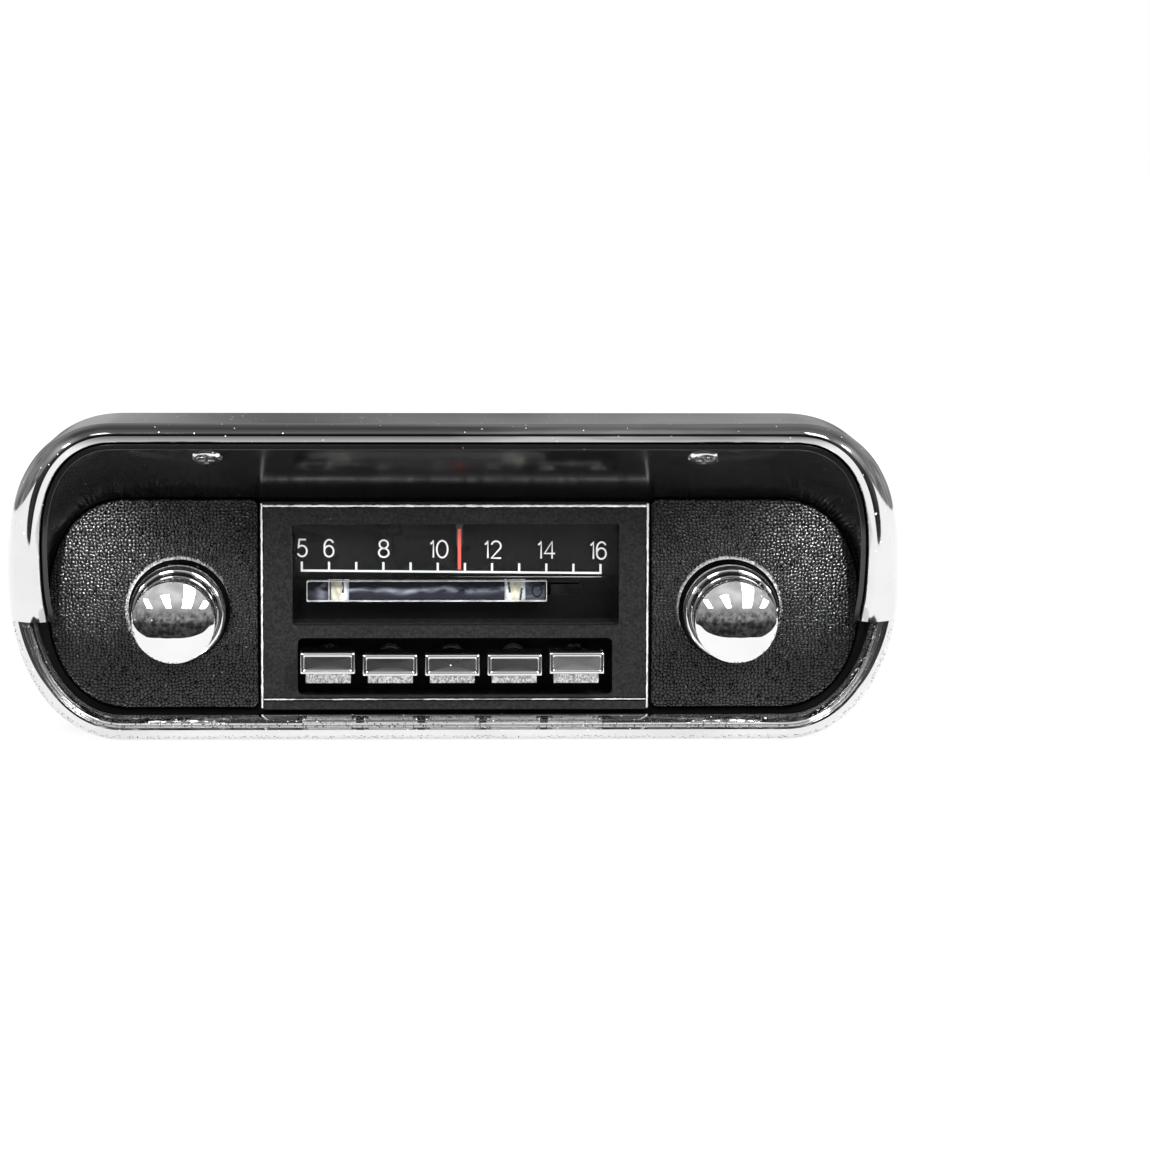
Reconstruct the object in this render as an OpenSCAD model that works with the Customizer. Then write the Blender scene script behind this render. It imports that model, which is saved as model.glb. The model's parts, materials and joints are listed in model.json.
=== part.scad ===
// Push-button car radio: chromed surround with a hood, face panels, mechanical tuner and steel case.
// X is to the right, Y runs back into the dashboard and Z is up. The origin is at the middle of
// the base. Inside on_face() the zero is on the face panels, level with the knob shafts.

/* [Surround] */
// Overall width of the chromed surround
bezel_w = 232; // [230:1:236]
// Height of the surround above the knob shafts
bezel_top = 50.5; // [50:0.5:52]
// Depth of the surround below the knob shafts, down to the base
bezel_drop = 33.9; // [33.5:0.1:34]
// Length of each rounded end of the surround
end_reach = 30.5; // [29.5:0.5:31.5]
// Height of the surround's widest line above the knob shafts
widest_z = 10; // [9:0.5:11]
// How far the hood stands out in front of the face panels
hood_reach = 31; // [30:0.5:33]
// How far the hood stands out where its sides end
seam_reach = 10; // [9.5:0.5:11]
// Height of the ends of the hood, from the knob shafts
seam_z = -2; // [-4:0.5:-1.5]
// How far the surround runs back behind the face panels
skirt_back = 12; // [11:0.5:12]
// Wall thickness of the castings
cast_wall = 2.6; // [2.5:0.1:2.8]

/* [Face panels] */
// Half the width of the two grained side panels together
panel_half_w = 105.8; // [105:0.1:106]
// Height of the panels above the knob shafts
panel_top = 29.2; // [28.8:0.1:29.4]
// Depth of the panels below the knob shafts
panel_drop = 26; // [25.8:0.1:26]
// Length of each rounded end of the panels
panel_end = 21.8; // [21:0.2:23]
// Thickness of the panels
panel_t = 3; // [2.8:0.1:3]
// Half the width of the middle panel, to the outside of its bright edge
centre_half_w = 50.6; // [50.4:0.1:51]
// Diameter of the holes round the knobs
knob_hole_d = 26.5; // [26:0.1:27]

/* [Controls] */
// Distance between the two knob shafts
shaft_spacing = 143; // [142:0.5:144]
// Widest diameter of the domed knobs
knob_d = 21.2; // [21:0.1:21.6]
// How far the domed knobs stand out from the panels
knob_reach = 30; // [28:0.5:30]
// Height of the dome on the front of a knob
dome_rise = 4; // [3.6:0.1:4.5]
// Diameter of the ring knobs behind the domed ones
ring_d = 24.8; // [24:0.1:25]
// Diameter of the inner shafts
shaft_d = 6; // [5.8:0.1:6]
// Outside diameter of the hollow shafts that carry the ring knobs
sleeve_d = 8.6; // [8.5:0.1:8.8]
// Outside diameter of the threaded bushings
bushing_d = 11.1; // [11:0.1:11.4]
// Spacing of the push buttons
button_pitch = 16.1; // [16:0.1:16.2]
// Width of a push button
button_w = 14.1; // [13.8:0.1:14.2]
// Height of a push button
button_h = 5.6; // [5.4:0.1:6]
// How far a push button goes in
button_travel = 8; // [7:0.5:8]
// Width of the clear band selector bar
band_bar_w = 62.6; // [62:0.2:63]
// How far the band selector bar slides
band_travel = 15; // [13:0.5:15]

/* [Case] */
// Width of the steel case
case_w = 176; // [174:1:178]
// Height of the case, from the base
case_h = 58; // [57:0.5:58]
// Depth of the case, behind the surround
case_depth = 118; // [116:1:120]
// Thickness of the sheet steel
sheet = 1.2; // [1:0.1:1.2]

/* [Hidden] */
$fn = 48;
buttons = 5;
arc_steps = 18;
straight_half = bezel_w / 2 - end_reach;
panel_straight = panel_half_w - panel_end;
panel_mid_z = (panel_top - panel_drop) / 2;
shaft_x = shaft_spacing / 2;
case_front = 12;
case_back = case_front + case_depth;
rear_reach = case_back + 14;
face_y = (hood_reach - rear_reach) / 2;
base = -bezel_drop;
case_top = base + case_h;
case_half = case_w / 2;
pad = 4.5;
cover_screw_xs = [-case_half + sheet + pad, case_half - sheet - pad];
cover_screw_ys = [case_front + sheet + pad, case_back - sheet - pad];
side_hole_z = base + 20;
side_hole_ys = [40, 90];
stud_x = 12;
running = 0.05;

// Powers of the surround's rounded ends: 1 is an ellipse, less is squarer
upper_power = 0.87;
lower_power = 0.93;
// Edges of the castings: the bevel under the hood's nose, inward and back, and the lower rim's
// outer roll, inward and forward
nose_in = 2.3;
nose_back = 1.5;
rim_roll = 3.4;
rim_reach = 6.3;

// Liner under the hood, and the two screws that hold it
liner_t = 1.5;
liner_gap = 0.3;
liner_inset = 1.8;
liner_setback = 2.8;
liner_rise = bezel_top - lip(90) - liner_inset - panel_top - liner_gap;
liner_tilt = atan(liner_rise / (hood_reach - liner_setback));
liner_screw_x = 63;
liner_screw_y = 23.6;
liner_head = 0.9;

// Dial window and button recess, from the middle of the face panels
window = [-42.2, 42.7, -4, 22.4];
recess = [-40.9, 41, -22.2, -7.3];
button_shift = 0.7;
dial_y = 8;
dial_low = 9.2;
dial_high = 20.6;
pointer_x = 1.2;
rail_y = 8.6;
rail_z = 26.2;
rail_d = 2;
cord_y = 31;
cord_d = 0.6;
guide_r = 2.5;
guides = [[-47, 17], [47.6, 17], [44, 11.36]];
lamp_x = -49.5;
lamp_z = 8;

// Tuner: the shaft's pinion turns the drive gear, whose hub moves the rack of the cores
spool_d = 6.4;
gear_size = 0.7;
pinion_teeth = 12;
gear_teeth = 36;
gear_x = shaft_x - gear_size * (pinion_teeth + gear_teeth) / 2;
gear_y = [37.5, 40.5];
hub_size = 0.6;
hub_teeth = 10;
hub_y = [42, 46];
hub_r = hub_size * hub_teeth / 2;
rack_pitch = PI * hub_size;
slide_z = -13.4;
tab_y = [-3, 4.4];
tab_z = -18.7;
tuner_front = 14;
tuner_back = 60;
treadle_y = 26;
treadle_z = -1;
core_ys = [41, 48, 55];
core_z = 12;
core_d = 5;
guide_y = 51;
guide_z = 3;
guide_d = 4;

// Clear bar of the band selector
band_x0 = -38.6;
band_z = [1.9, 7.4];
band_y = [2, 5];
stud_xs = [-30.3, 15.7];

// ---------------------------------------------------------------- shared shapes

// Moves to the face panels, level with the knob shafts
module on_face() {
    translate([0, face_y, bezel_drop])
        children();
}

// Box between two heights, depths and sides
module block(x, y, z) {
    translate([x[0], y[0], z[0]])
        cube([x[1] - x[0], y[1] - y[0], z[1] - z[0]]);
}

// Round bar along Y
module rod(x, z, d, y) {
    translate([x, y[0], z])
        rotate([-90, 0, 0])
            cylinder(d = d, h = y[1] - y[0]);
}

// Round bar along X
module cross_rod(x, y, z, d) {
    translate([x[0], y, z])
        rotate([0, 90, 0])
            cylinder(d = d, h = x[1] - x[0]);
}

// Flat shape seen from the front, given a depth
module upright(y) {
    translate([0, y[1], 0])
        rotate([90, 0, 0])
            linear_extrude(y[1] - y[0])
                children();
}

// Turned shape about a shaft, drawn as radius and distance in front of the panels
module turned(x) {
    translate([x, 0, 0])
        rotate([90, 0, 0])
            rotate_extrude()
                children();
}

// Rectangle with round corners
module round_rect(x, z, r) {
    translate([x[0] + r, z[0]])
        square([x[1] - x[0] - 2 * r, z[1] - z[0]]);
    translate([x[0], z[0] + r])
        square([x[1] - x[0], z[1] - z[0] - 2 * r]);
    for (cx = [x[0] + r, x[1] - r], cz = [z[0] + r, z[1] - r])
        translate([cx, cz])
            circle(r);
}

// Solid through rings of points that all have the same count
module loft(rings) {
    n = len(rings[0]);
    m = len(rings);
    sides = [
        for (i = [0:m - 2], j = [0:n - 1])
            [i * n + j, i * n + (j + 1) % n, (i + 1) * n + (j + 1) % n, (i + 1) * n + j]
    ];
    first = [for (j = [n - 1:-1:0]) j];
    last = [for (j = [0:n - 1]) (m - 1) * n + j];
    polyhedron([for (ring = rings) each ring], concat([first], sides, [last]));
}

// Outline of the surround, d inside its edge, at an angle above its widest line
function rim_x(a, d) =
    straight_half + pow(cos(a), a > 0 ? upper_power : lower_power) * (end_reach - d);
function rim_z(a, d) =
    a > 0 ? widest_z + pow(sin(a), upper_power) * (bezel_top - widest_z - d)
          : widest_z - pow(-sin(a), lower_power) * (bezel_drop + widest_z - d);

// Outline of the face panels, d outside their edge
function panel_x(a, d) = panel_straight + pow(cos(a), 0.9) * (panel_end + d);
function panel_z(a, d) =
    panel_mid_z + sign(a) * pow(abs(sin(a)), 0.9) * ((panel_top + panel_drop) / 2 + d);

// Angles at which the two outlines cross the ends of the hood
function rim_seam(d) =
    -asin(pow((widest_z - seam_z) / (bezel_drop + widest_z - d), 1 / lower_power));
function panel_seam(d) =
    -asin(pow((panel_mid_z - seam_z) / ((panel_top + panel_drop) / 2 + d), 1 / 0.9));

// Stations along one end, and the same going back along the other end
upper_arc = [for (i = [0:arc_steps]) i / arc_steps];
function both_ways(list) = concat(
    [for (t = list) [1, t]],
    [for (i = [len(list) - 1:-1:0]) [-1, list[i]]]
);

// Forward reach of the hood at a height
function reach(z) =
    seam_reach + (hood_reach - seam_reach) * max(0, (z - seam_z) / (bezel_top - seam_z));

function mix(a, b, t) = a + (b - a) * t;
function sideness(a) = a < 0 ? 1 : pow(cos(a), 2);
function lip(a) = mix(4.6, 10, sideness(a));

// Section of the hood, as pairs of distance inside the outline and distance forward
function hood_section(a) =
    let (
        r = reach(rim_z(a, 0)),
        start = mix(r - 7, -1, sideness(a)),
        crest = lip(a) - nose_in
    )
    concat(
        [[0, -skirt_back]],
        [for (t = [0:15:90]) [crest * (1 - cos(t)), mix(start, r, sin(t))]],
        [[crest + 0.5, r - 0.1], [lip(a) - 0.2, r - nose_back], [lip(a), r - nose_back - 0.5]],
        [[cast_wall, r - 4.6], [cast_wall, -skirt_back]]
    );

// Section of the lower rim: outer roll, groove, ridge and an inner bevel
rim_section = concat(
    [[0, -skirt_back]],
    [for (t = [0:15:90]) [rim_roll * (1 - cos(t)), mix(-1, rim_reach, sin(t))]],
    [[3.9, 5.6], [4.3, 4.9], [4.6, 5.3], [5, 5.4], [6.6, 3.3], [6.9, 2.3], [6.9, 0.6]],
    [[cast_wall, -1.6], [cast_wall, -skirt_back]]
);

function ring_of(side, section, a, at_seam) = [
    for (p = section)
        let (b = at_seam ? rim_seam(p[0]) : a)
        [side * rim_x(b, p[0]), -p[1], rim_z(b, p[0])]
];

// ---------------------------------------------------------------- surround

module hood() {
    color("silver")
        on_face()
            loft([
                for (s = both_ways(upper_arc))
                    let (a = mix(rim_seam(0), 90, s[1]))
                    ring_of(s[0], hood_section(a), a, s[1] == 0)
            ]);
}

module lower_rim() {
    color("silver")
        on_face()
            loft([
                for (s = both_ways(upper_arc))
                    let (a = mix(rim_seam(0), -90, s[1]))
                    ring_of(-s[0], rim_section, a, s[1] == 0)
            ]);
}

function liner_back(side, a, at_seam, d, y) =
    let (b = at_seam ? panel_seam(d) : a)
    [side * panel_x(b, d), y, panel_z(b, d)];

function liner_front(side, a, at_seam, d) =
    let (b = at_seam ? rim_seam(d) : a)
    [side * rim_x(b, d), liner_setback - reach(rim_z(a, 0)), rim_z(b, d)];

// Ring of the liner: back edge, panel edge and front edge inside, then the same outside
module hood_liner() {
    color([0.04, 0.04, 0.045])
        on_face()
            loft([
                for (s = both_ways(upper_arc))
                    let (
                        a = mix(rim_seam(0), 90, s[1]),
                        b = mix(panel_seam(0), 90, s[1]),
                        end = s[1] == 0,
                        front = lip(a) + liner_inset
                    )
                    [
                        liner_back(s[0], b, end, liner_gap, panel_t),
                        liner_back(s[0], b, end, liner_gap, 0),
                        liner_front(s[0], a, end, front),
                        liner_front(s[0], a, end, front - liner_t),
                        liner_back(s[0], b, end, liner_gap + liner_t, 0),
                        liner_back(s[0], b, end, liner_gap + liner_t, panel_t)
                    ]
            ]);
}

// Two pan-head screws that hold the liner up to the hood
module liner_screws() {
    color("silver")
        on_face()
            for (x = [-liner_screw_x, liner_screw_x])
                translate([x, -liner_screw_y, panel_top + liner_gap + liner_screw_y * tan(liner_tilt)])
                    rotate([-liner_tilt, 0, 0])
                        translate([0, 0, -liner_head]) {
                            rotate_extrude()
                                polygon([[0, 0], [1.8, 0.05], [3, 0.25], [3.8, 0.55], [4.1, liner_head],
                                    [0, liner_head]]);
                            cylinder(d = 3.2, h = 9.6);
                        }
}

function rim_outline(d) = concat(
    [for (t = [-90:5:90]) [rim_x(t, d), rim_z(t, d)]],
    [for (t = [90:-5:-90]) [-rim_x(t, d), rim_z(t, d)]]
);
function panel_outline(d) = concat(
    [for (t = [-90:5:90]) [panel_x(t, d), panel_z(t, d)]],
    [for (t = [90:-5:-90]) [-panel_x(t, d), panel_z(t, d)]]
);

// Blackened steel plate that ties the castings, the panels and the case together
module bezel_carrier() {
    color([0.08, 0.08, 0.08])
        on_face()
            difference() {
                upright([panel_t, panel_t + 2])
                    polygon(rim_outline(cast_wall));
                block([-46, 46], [0, 9], [-24.5, 25]);
                for (side = [-1, 1])
                    rod(side * shaft_x, 0, bushing_d + 0.3, [0, 9]);
            }
}

// ---------------------------------------------------------------- face panels

module side_panel(side) {
    cut = [-side * panel_half_w - side, side * (centre_half_w + 0.2)];
    color([0.05, 0.05, 0.05])
        on_face()
            difference() {
                upright([0, panel_t])
                    polygon(panel_outline(0));
                block([min(cut), max(cut)], [-1, 4], [-panel_drop - 5, panel_top + 5]);
                rod(side * shaft_x, 0, knob_hole_d, [-1, 5]);
            }
}

module left_side_panel() {
    side_panel(-1);
}

module right_side_panel() {
    side_panel(1);
}

// Middle panel: plate with the dial window, its sloping sill and the button recess
module centre_panel() {
    color([0.12, 0.12, 0.12])
        on_face() {
            difference() {
                upright([0, panel_t])
                    difference() {
                        round_rect([-centre_half_w, centre_half_w], [-panel_drop, panel_top - 1], 1);
                        round_rect([window[0], window[1]], [window[2], window[3]], 0.8);
                        round_rect([recess[0], recess[1]], [recess[2], recess[3]], 1.5);
                    }
                upright([-0.5, 0.6])
                    trim_outline(0.8, 0.15);
            }
            for (x = [window[0] - 1.4, window[1] + 0.1])
                block([x, x + 1.3], [panel_t, dial_y - 0.1], [window[2] - 1, window[3]]);
            translate([window[0] - 1.4, 0, 0])
                rotate([90, 0, 90])
                    linear_extrude(window[1] - window[0] + 2.8)
                        polygon([
                            [panel_t, window[2] - 1.2], [dial_y - 0.1, window[2] - 1.2],
                            [dial_y - 0.1, window[2] + 0.9], [panel_t, window[2] + 0.3]
                        ]);
            for (x = [recess[0] - 1.3, recess[1] + 0.1])
                block([x, x + 1.2], [panel_t, 11], [recess[2] - 1, recess[3] + 1]);
            for (z = [recess[2] - 1.2, recess[3] + 0.1])
                block([recess[0] - 0.2, recess[1] + 0.2], [panel_t, 11], [z, z + 1.1]);
        }
}

// Lines of the bright edging: two tall ones and two across
module trim_outline(line, play) {
    w = line / 2 + play;
    for (side = [-1, 1])
        translate([side * (centre_half_w - 0.5) - w, -panel_drop + 0.4 - play])
            square([2 * w, panel_top + panel_drop - 1.8 + 2 * play]);
    for (z = [27.2, -23.4])
        translate([-centre_half_w + 0.5, z - w])
            square([2 * centre_half_w - 1, 2 * w]);
}

module centre_trim() {
    color("silver")
        on_face()
            upright([-0.3, 0.6])
                trim_outline(0.8, 0);
}

// ---------------------------------------------------------------- dial

// Black scale plate, with slots for the two studs of the band selector
module dial_plate() {
    color([0.03, 0.03, 0.03])
        on_face()
            difference() {
                block([window[0] - 2, window[1] + 2], [dial_y, dial_y + 1.2], [window[2] - 1.8, 24]);
                for (x = stud_xs)
                    block([x - 1.9, x + band_travel + 1.9], [dial_y - 1, dial_y + 2], [3, 6.3]);
            }
}

// Clear window over the scale
module dial_lens() {
    color([0.8, 0.85, 0.9, 0.35])
        on_face()
            block([window[0] + 0.1, window[1] - 0.1], [panel_t, panel_t + 1.2], [8.3, 24.2]);
}

// Socket behind the dial that holds the lamp
module lamp_holder() {
    color("peru")
        on_face()
            difference() {
                union() {
                    rod(lamp_x, lamp_z, 9, [13.4, 22]);
                    block([lamp_x - 6, lamp_x + 5.5], [22, 23.2], [lamp_z - 7, lamp_z + 7]);
                }
                rod(lamp_x, lamp_z, 6.2, [12, 22]);
            }
}

module dial_lamp() {
    color([1, 0.95, 0.7, 0.6])
        on_face()
            translate([0, 0, lamp_z])
                turned(lamp_x)
                    polygon([[0, -21.8], [3, -21.8], [3, -14], [2.6, -12.4], [1.4, -11.2], [0, -10.8]]);
}

// Red needle
module pointer() {
    color([0.85, 0.15, 0.1])
        on_face()
            block([pointer_x - 0.45, pointer_x + 0.45], [6.1, 6.6], [dial_low + 0.7, dial_high]);
}

// Block that runs along the rail, with one arm to the needle and one back to the cord
module pointer_carriage() {
    color([0.15, 0.15, 0.15])
        on_face()
            difference() {
                union() {
                    block([pointer_x - 4, pointer_x + 4], [6.6, 10.4], [24.4, 28]);
                    block([pointer_x - 0.8, pointer_x + 0.8], [6.6, 7.2], [16, 25]);
                    block([pointer_x - 0.8, pointer_x + 0.8], [9.7, 10.4], [20.3, 25]);
                    block([pointer_x - 0.8, pointer_x + 0.8], [9.7, cord_y + 1], [20.3, 21.3]);
                }
                cross_rod([pointer_x - 5, pointer_x + 5], rail_y, rail_z, rail_d + 2 * running);
            }
}

// Rail with a post at each end, fixed to the front of the case
module pointer_rail() {
    color("gainsboro")
        on_face() {
            cross_rod([-51, 51], rail_y, rail_z, rail_d);
            for (x = [-52, 50])
                block([x, x + 2], [6.6, case_front], [22.4, 28]);
        }
}

// Spindles that the dial cord turns round, standing on the front of the case
module cord_guides() {
    color("tan")
        on_face()
            for (p = guides) {
                rod(p[0], p[1], 3, [case_front + sheet, cord_y + 1.4]);
                rod(p[0], p[1], 2 * guide_r, [cord_y - 1.1, cord_y + 1.1]);
            }
}

// Straight run of cord between two points of the plane of the cord
module cord_run(a, b) {
    v = b - a;
    translate([a[0], cord_y, a[1]])
        rotate([0, 90 - atan2(v[1], v[0]), 0])
            cylinder(d = cord_d, h = norm(v), $fn = 24);
}

// Loop of cord: along under the carriage, down to the spool on the tuning shaft and back
module dial_cord() {
    lift = guide_r + cord_d / 2 + 0.02;
    spool = (spool_d + cord_d) / 2 + 0.02;
    color("wheat")
        on_face() {
            cord_run(guides[0] + [0, lift], guides[1] + [0, lift]);
            cord_run(guides[1] + lift * [0.6, 0.8], [shaft_x, 0] + spool * [0.6, 0.8]);
            cord_run(guides[0] - [0, lift], guides[2] + [0, lift]);
            cord_run(guides[2] + lift * [0.6, 0.8], [shaft_x, 0] - spool * [0.6, 0.8]);
        }
}

// ---------------------------------------------------------------- band selector

module band_bar() {
    color([0.85, 0.9, 0.95, 0.4])
        on_face()
            block([band_x0, band_x0 + band_bar_w], band_y, band_z);
}

// Bright studs behind the bar, each with a neck through the dial plate
module band_studs() {
    color("silver")
        on_face()
            for (x = stud_xs) {
                block([x - 2.7, x + 2.7], [band_y[1], dial_y - 0.4], [band_z[0] + 0.2, band_z[1] - 0.2]);
                block([x - 1.5, x + 1.5], [dial_y - 0.4, 9.8], [3.4, 5.9]);
            }
}

// Steel strip behind the dial plate that joins the studs and works the band switch
module band_slider() {
    color("gainsboro")
        on_face() {
            block([-34, 20], [9.8, 10.6], [1.5, 7.8]);
            block([-8, -4], [10.6, 11.6], [2.5, 6.8]);
        }
}

// ---------------------------------------------------------------- presets

// The row of buttons stands a little to the left of the middle
function button_x(i) = (i - (buttons + 1) / 2) * button_pitch - button_shift;
// The first and last buttons sit a little higher
function button_z(i) = i == 1 || i == buttons ? -12.8 : -13.3;

module preset_button(i) {
    x = button_x(i);
    z = button_z(i);
    color("silver")
        on_face()
            difference() {
                block([x - button_w / 2, x + button_w / 2], [-9, 3],
                    [z - button_h / 2, z + button_h / 2]);
                block([x - button_w / 2 + 0.7, x + button_w / 2 - 0.7], [-10, -8.3],
                    [z - button_h / 2 + 0.7, z + button_h / 2 - 0.7]);
                block([x - 2.3, x + 2.3], [-5, 4], [slide_z - 0.8, slide_z + 0.8]);
            }
}

// Steel slide: blade into the button, tab under it, and the memory cam on top
module preset_slide(i) {
    x = button_x(i);
    color("gainsboro")
        on_face() {
            block([x - 2.2, x + 2.2], [-5, 63], [slide_z - 0.8, slide_z + 0.8]);
            block([x - 5.8, x + 5.8], tab_y, [tab_z, button_z(i) - button_h / 2]);
            block([x - 2.2, x + 2.2], [3, tab_y[1]], [tab_z, slide_z]);
            translate([x, 42, slide_z + 0.8])
                cylinder(d = 10, h = 2.4);
            translate([x, 42, slide_z + 3.2])
                cylinder(d = 4, h = 1.4);
        }
}

// Coil spring between the back of a button and the tuner frame
module preset_spring(i) {
    turns = 4;
    steps = 12;
    wire = 0.16;
    x = button_x(i);
    start = tab_y[1] + running;
    length = tuner_front - start - 2 * wire;
    color("dimgray")
        on_face()
            loft([
                for (k = [0:turns * steps])
                    let (a = 360 * k / steps, t = k / (turns * steps), out = [cos(a), 0, sin(a)])
                    [for (b = [0:60:300])
                        [x, start + wire + length * t, slide_z]
                            + (3.1 + wire * cos(b)) * out + [0, wire * sin(b), 0]]
            ]);
}

module preset_button_1() {
    preset_button(1);
}

module preset_button_2() {
    preset_button(2);
}

module preset_button_3() {
    preset_button(3);
}

module preset_button_4() {
    preset_button(4);
}

module preset_button_5() {
    preset_button(5);
}

module preset_slide_1() {
    preset_slide(1);
}

module preset_slide_2() {
    preset_slide(2);
}

module preset_slide_3() {
    preset_slide(3);
}

module preset_slide_4() {
    preset_slide(4);
}

module preset_slide_5() {
    preset_slide(5);
}

module preset_spring_1() {
    preset_spring(1);
}

module preset_spring_2() {
    preset_spring(2);
}

module preset_spring_3() {
    preset_spring(3);
}

module preset_spring_4() {
    preset_spring(4);
}

module preset_spring_5() {
    preset_spring(5);
}

// ---------------------------------------------------------------- knobs and shafts

// Domed knob: neck behind a long round body with a domed front
module domed_knob(x) {
    body = knob_d / 2;
    edge = body - 0.3;
    ball = (edge * edge + dome_rise * dome_rise) / (2 * dome_rise);
    half = asin(edge / ball);
    color("silver")
        on_face()
            turned(x)
                polygon(concat(
                    [[shaft_d / 2, 15.5], [shaft_d / 2, 7.6], [8.6, 7.6], [8.6, 10]],
                    [[body - 0.3, 10], [body, 10.3], [body, knob_reach - dome_rise - 0.3]],
                    [for (k = [0:12]) let (t = half * (1 - k / 12))
                        [ball * sin(t), knob_reach - ball + ball * cos(t)]],
                    [[0, 15.5]]
                ));
}

// Ring knob: outer roll, inner funnel and the web that holds it on its sleeve
module ring_knob(x) {
    r = ring_d / 2;
    color("silver")
        on_face()
            turned(x)
                polygon([
                    [sleeve_d / 2, 2.6], [r - 1.8, 2.6], [r - 1.8, -0.6], [r - 0.2, -0.6], [r, 0.2],
                    [r, 7.6], [r - 0.4, 8.8], [r - 1.1, 9.4], [r - 1.8, 9.2], [r - 2.4, 8.2],
                    [r - 2.9, 7.2], [9, 6.6], [sleeve_d / 2, 6.6]
                ]);
}

// Inner shaft along Y
module inner_shaft(x, back) {
    color("lightgray")
        on_face()
            rod(x, 0, shaft_d, [-15.5, back]);
}

// Hollow shaft round the inner one
module hollow_shaft(x) {
    color("khaki")
        on_face()
            difference() {
                rod(x, 0, sleeve_d, [-6.6, 20]);
                rod(x, 0, shaft_d + 2 * running, [-8, 21]);
            }
}

// Two-gang control body behind the front of the case
module control_body(x, back) {
    color("darkgray")
        on_face()
            difference() {
                union() {
                    rod(x, 0, 24, [16, back]);
                    block([x - 7, x + 7], [19, 20.5], [10, 17]);
                }
                rod(x, 0, sleeve_d + 2 * running, [15, 20.2]);
                rod(x, 0, shaft_d + 2 * running, [15, back + 1]);
            }
}

module volume_knob() {
    domed_knob(-shaft_x);
}

module tuning_knob() {
    domed_knob(shaft_x);
}

module tone_ring() {
    ring_knob(-shaft_x);
}

module fader_ring() {
    ring_knob(shaft_x);
}

module tone_sleeve() {
    hollow_shaft(-shaft_x);
}

module fader_sleeve() {
    hollow_shaft(shaft_x);
}

module volume_shaft() {
    inner_shaft(-shaft_x, 30);
}

module volume_control() {
    control_body(-shaft_x, 32);
}

module fader_control() {
    control_body(shaft_x, 29);
}

// Flat spur gear with straight-sided teeth a little thinner than their gaps
module spur(teeth, size, turn) {
    step = 360 / teeth;
    root = size * (teeth / 2 - 1.2);
    tip = size * (teeth / 2 + 0.9);
    polygon([
        for (i = [0:teeth - 1], k = [0:3])
            let (a = turn + (i + [-0.27, -0.11, 0.11, 0.27][k]) * step, r = k == 0 || k == 3 ? root : tip)
            [r * cos(a), r * sin(a)]
    ]);
}

// Tuning shaft with its brass pinion
module tuning_shaft() {
    inner_shaft(shaft_x, 41.4);
    color("lightgray")
        on_face() {
            rod(shaft_x, 0, spool_d, [cord_y - 1.2, cord_y + 1.2]);
            for (y = [cord_y - 1.6, cord_y + 1.1])
                rod(shaft_x, 0, 9, [y, y + 0.5]);
        }
    color("goldenrod")
        on_face()
            translate([shaft_x, 0, 0])
                upright(gear_y)
                    spur(pinion_teeth, gear_size, 0);
}

// Threaded bushings with the shoulder that spaces the case from the carrier
module shaft_bushings() {
    color("gold")
        on_face()
            for (x = [-shaft_x, shaft_x])
                difference() {
                    union() {
                        rod(x, 0, bushing_d, [-2, 16]);
                        rod(x, 0, 17, [panel_t + 2, case_front]);
                    }
                    rod(x, 0, sleeve_d + 2 * running, [-3, 17]);
                }
}

// Hexagon nuts that clamp the carrier to the bushings
module shaft_nuts() {
    color("silver")
        on_face()
            for (x = [-shaft_x, shaft_x])
                difference() {
                    translate([x, panel_t, 0])
                        rotate([90, 0, 0])
                            cylinder(d = 16, h = 3, $fn = 6);
                    rod(x, 0, bushing_d, [-1, 4]);
                }
}

// ---------------------------------------------------------------- tuner

// Bent steel frame that guides the slides at the front and at the back
module tuner_frame() {
    color("lightsteelblue")
        on_face()
            difference() {
                union() {
                    block([-44, 44], [tuner_front, tuner_front + sheet], [-26, -4]);
                    block([-44, 44], [tuner_back - sheet, tuner_back], [-26, -4]);
                    block([-44, 44], [tuner_front, tuner_back], [-26, -26 + sheet]);
                    for (x = [-44, 42.8])
                        block([x, x + sheet], [treadle_y - 6, treadle_y + 6], [-26, 4]);
                }
                for (i = [1:buttons])
                    block([button_x(i) - 2.4, button_x(i) + 2.4], [tuner_front - 1, tuner_back + 1],
                        [slide_z - 1, slide_z + 1]);
                cross_rod([-46, 46], treadle_y, treadle_z, 4 + 2 * running);
            }
}

// Rocking bar that the memory cams set
module treadle() {
    color("darkkhaki")
        on_face() {
            cross_rod([-44, 44], treadle_y, treadle_z, 4);
            for (side = [-1, 1]) {
                cross_rod([-41, 41], treadle_y + side * 6, treadle_z, 2.4);
                for (x = [-41, 39])
                    block([x, x + 2], [treadle_y - 7, treadle_y + 7], [treadle_z - 1.6, treadle_z + 1.6]);
            }
        }
}

// Carriage with the three ferrite cores, and the rack under the drive gear's hub
module core_carriage() {
    teeth = 17;
    color([0.35, 0.35, 0.38])
        on_face() {
            difference() {
                block([20, 26], [37, 58], [-7, 17]);
                cross_rod([19, 27], guide_y, guide_z, guide_d + 2 * running);
            }
            for (y = core_ys)
                cross_rod([-30, 20], y, core_z, core_d);
            upright(hub_y)
                polygon(concat(
                    [[26, -7], [26, -hub_r - 0.72]],
                    [for (i = [-8:8], k = [0:3])
                        [gear_x + (i + [-0.27, -0.11, 0.11, 0.27][k]) * rack_pitch,
                            -hub_r + (k == 0 || k == 3 ? -0.72 : 0.5)]],
                    [[gear_x + 9 * rack_pitch, -hub_r - 0.72], [gear_x + 9 * rack_pitch, -7]]
                ));
        }
}

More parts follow.
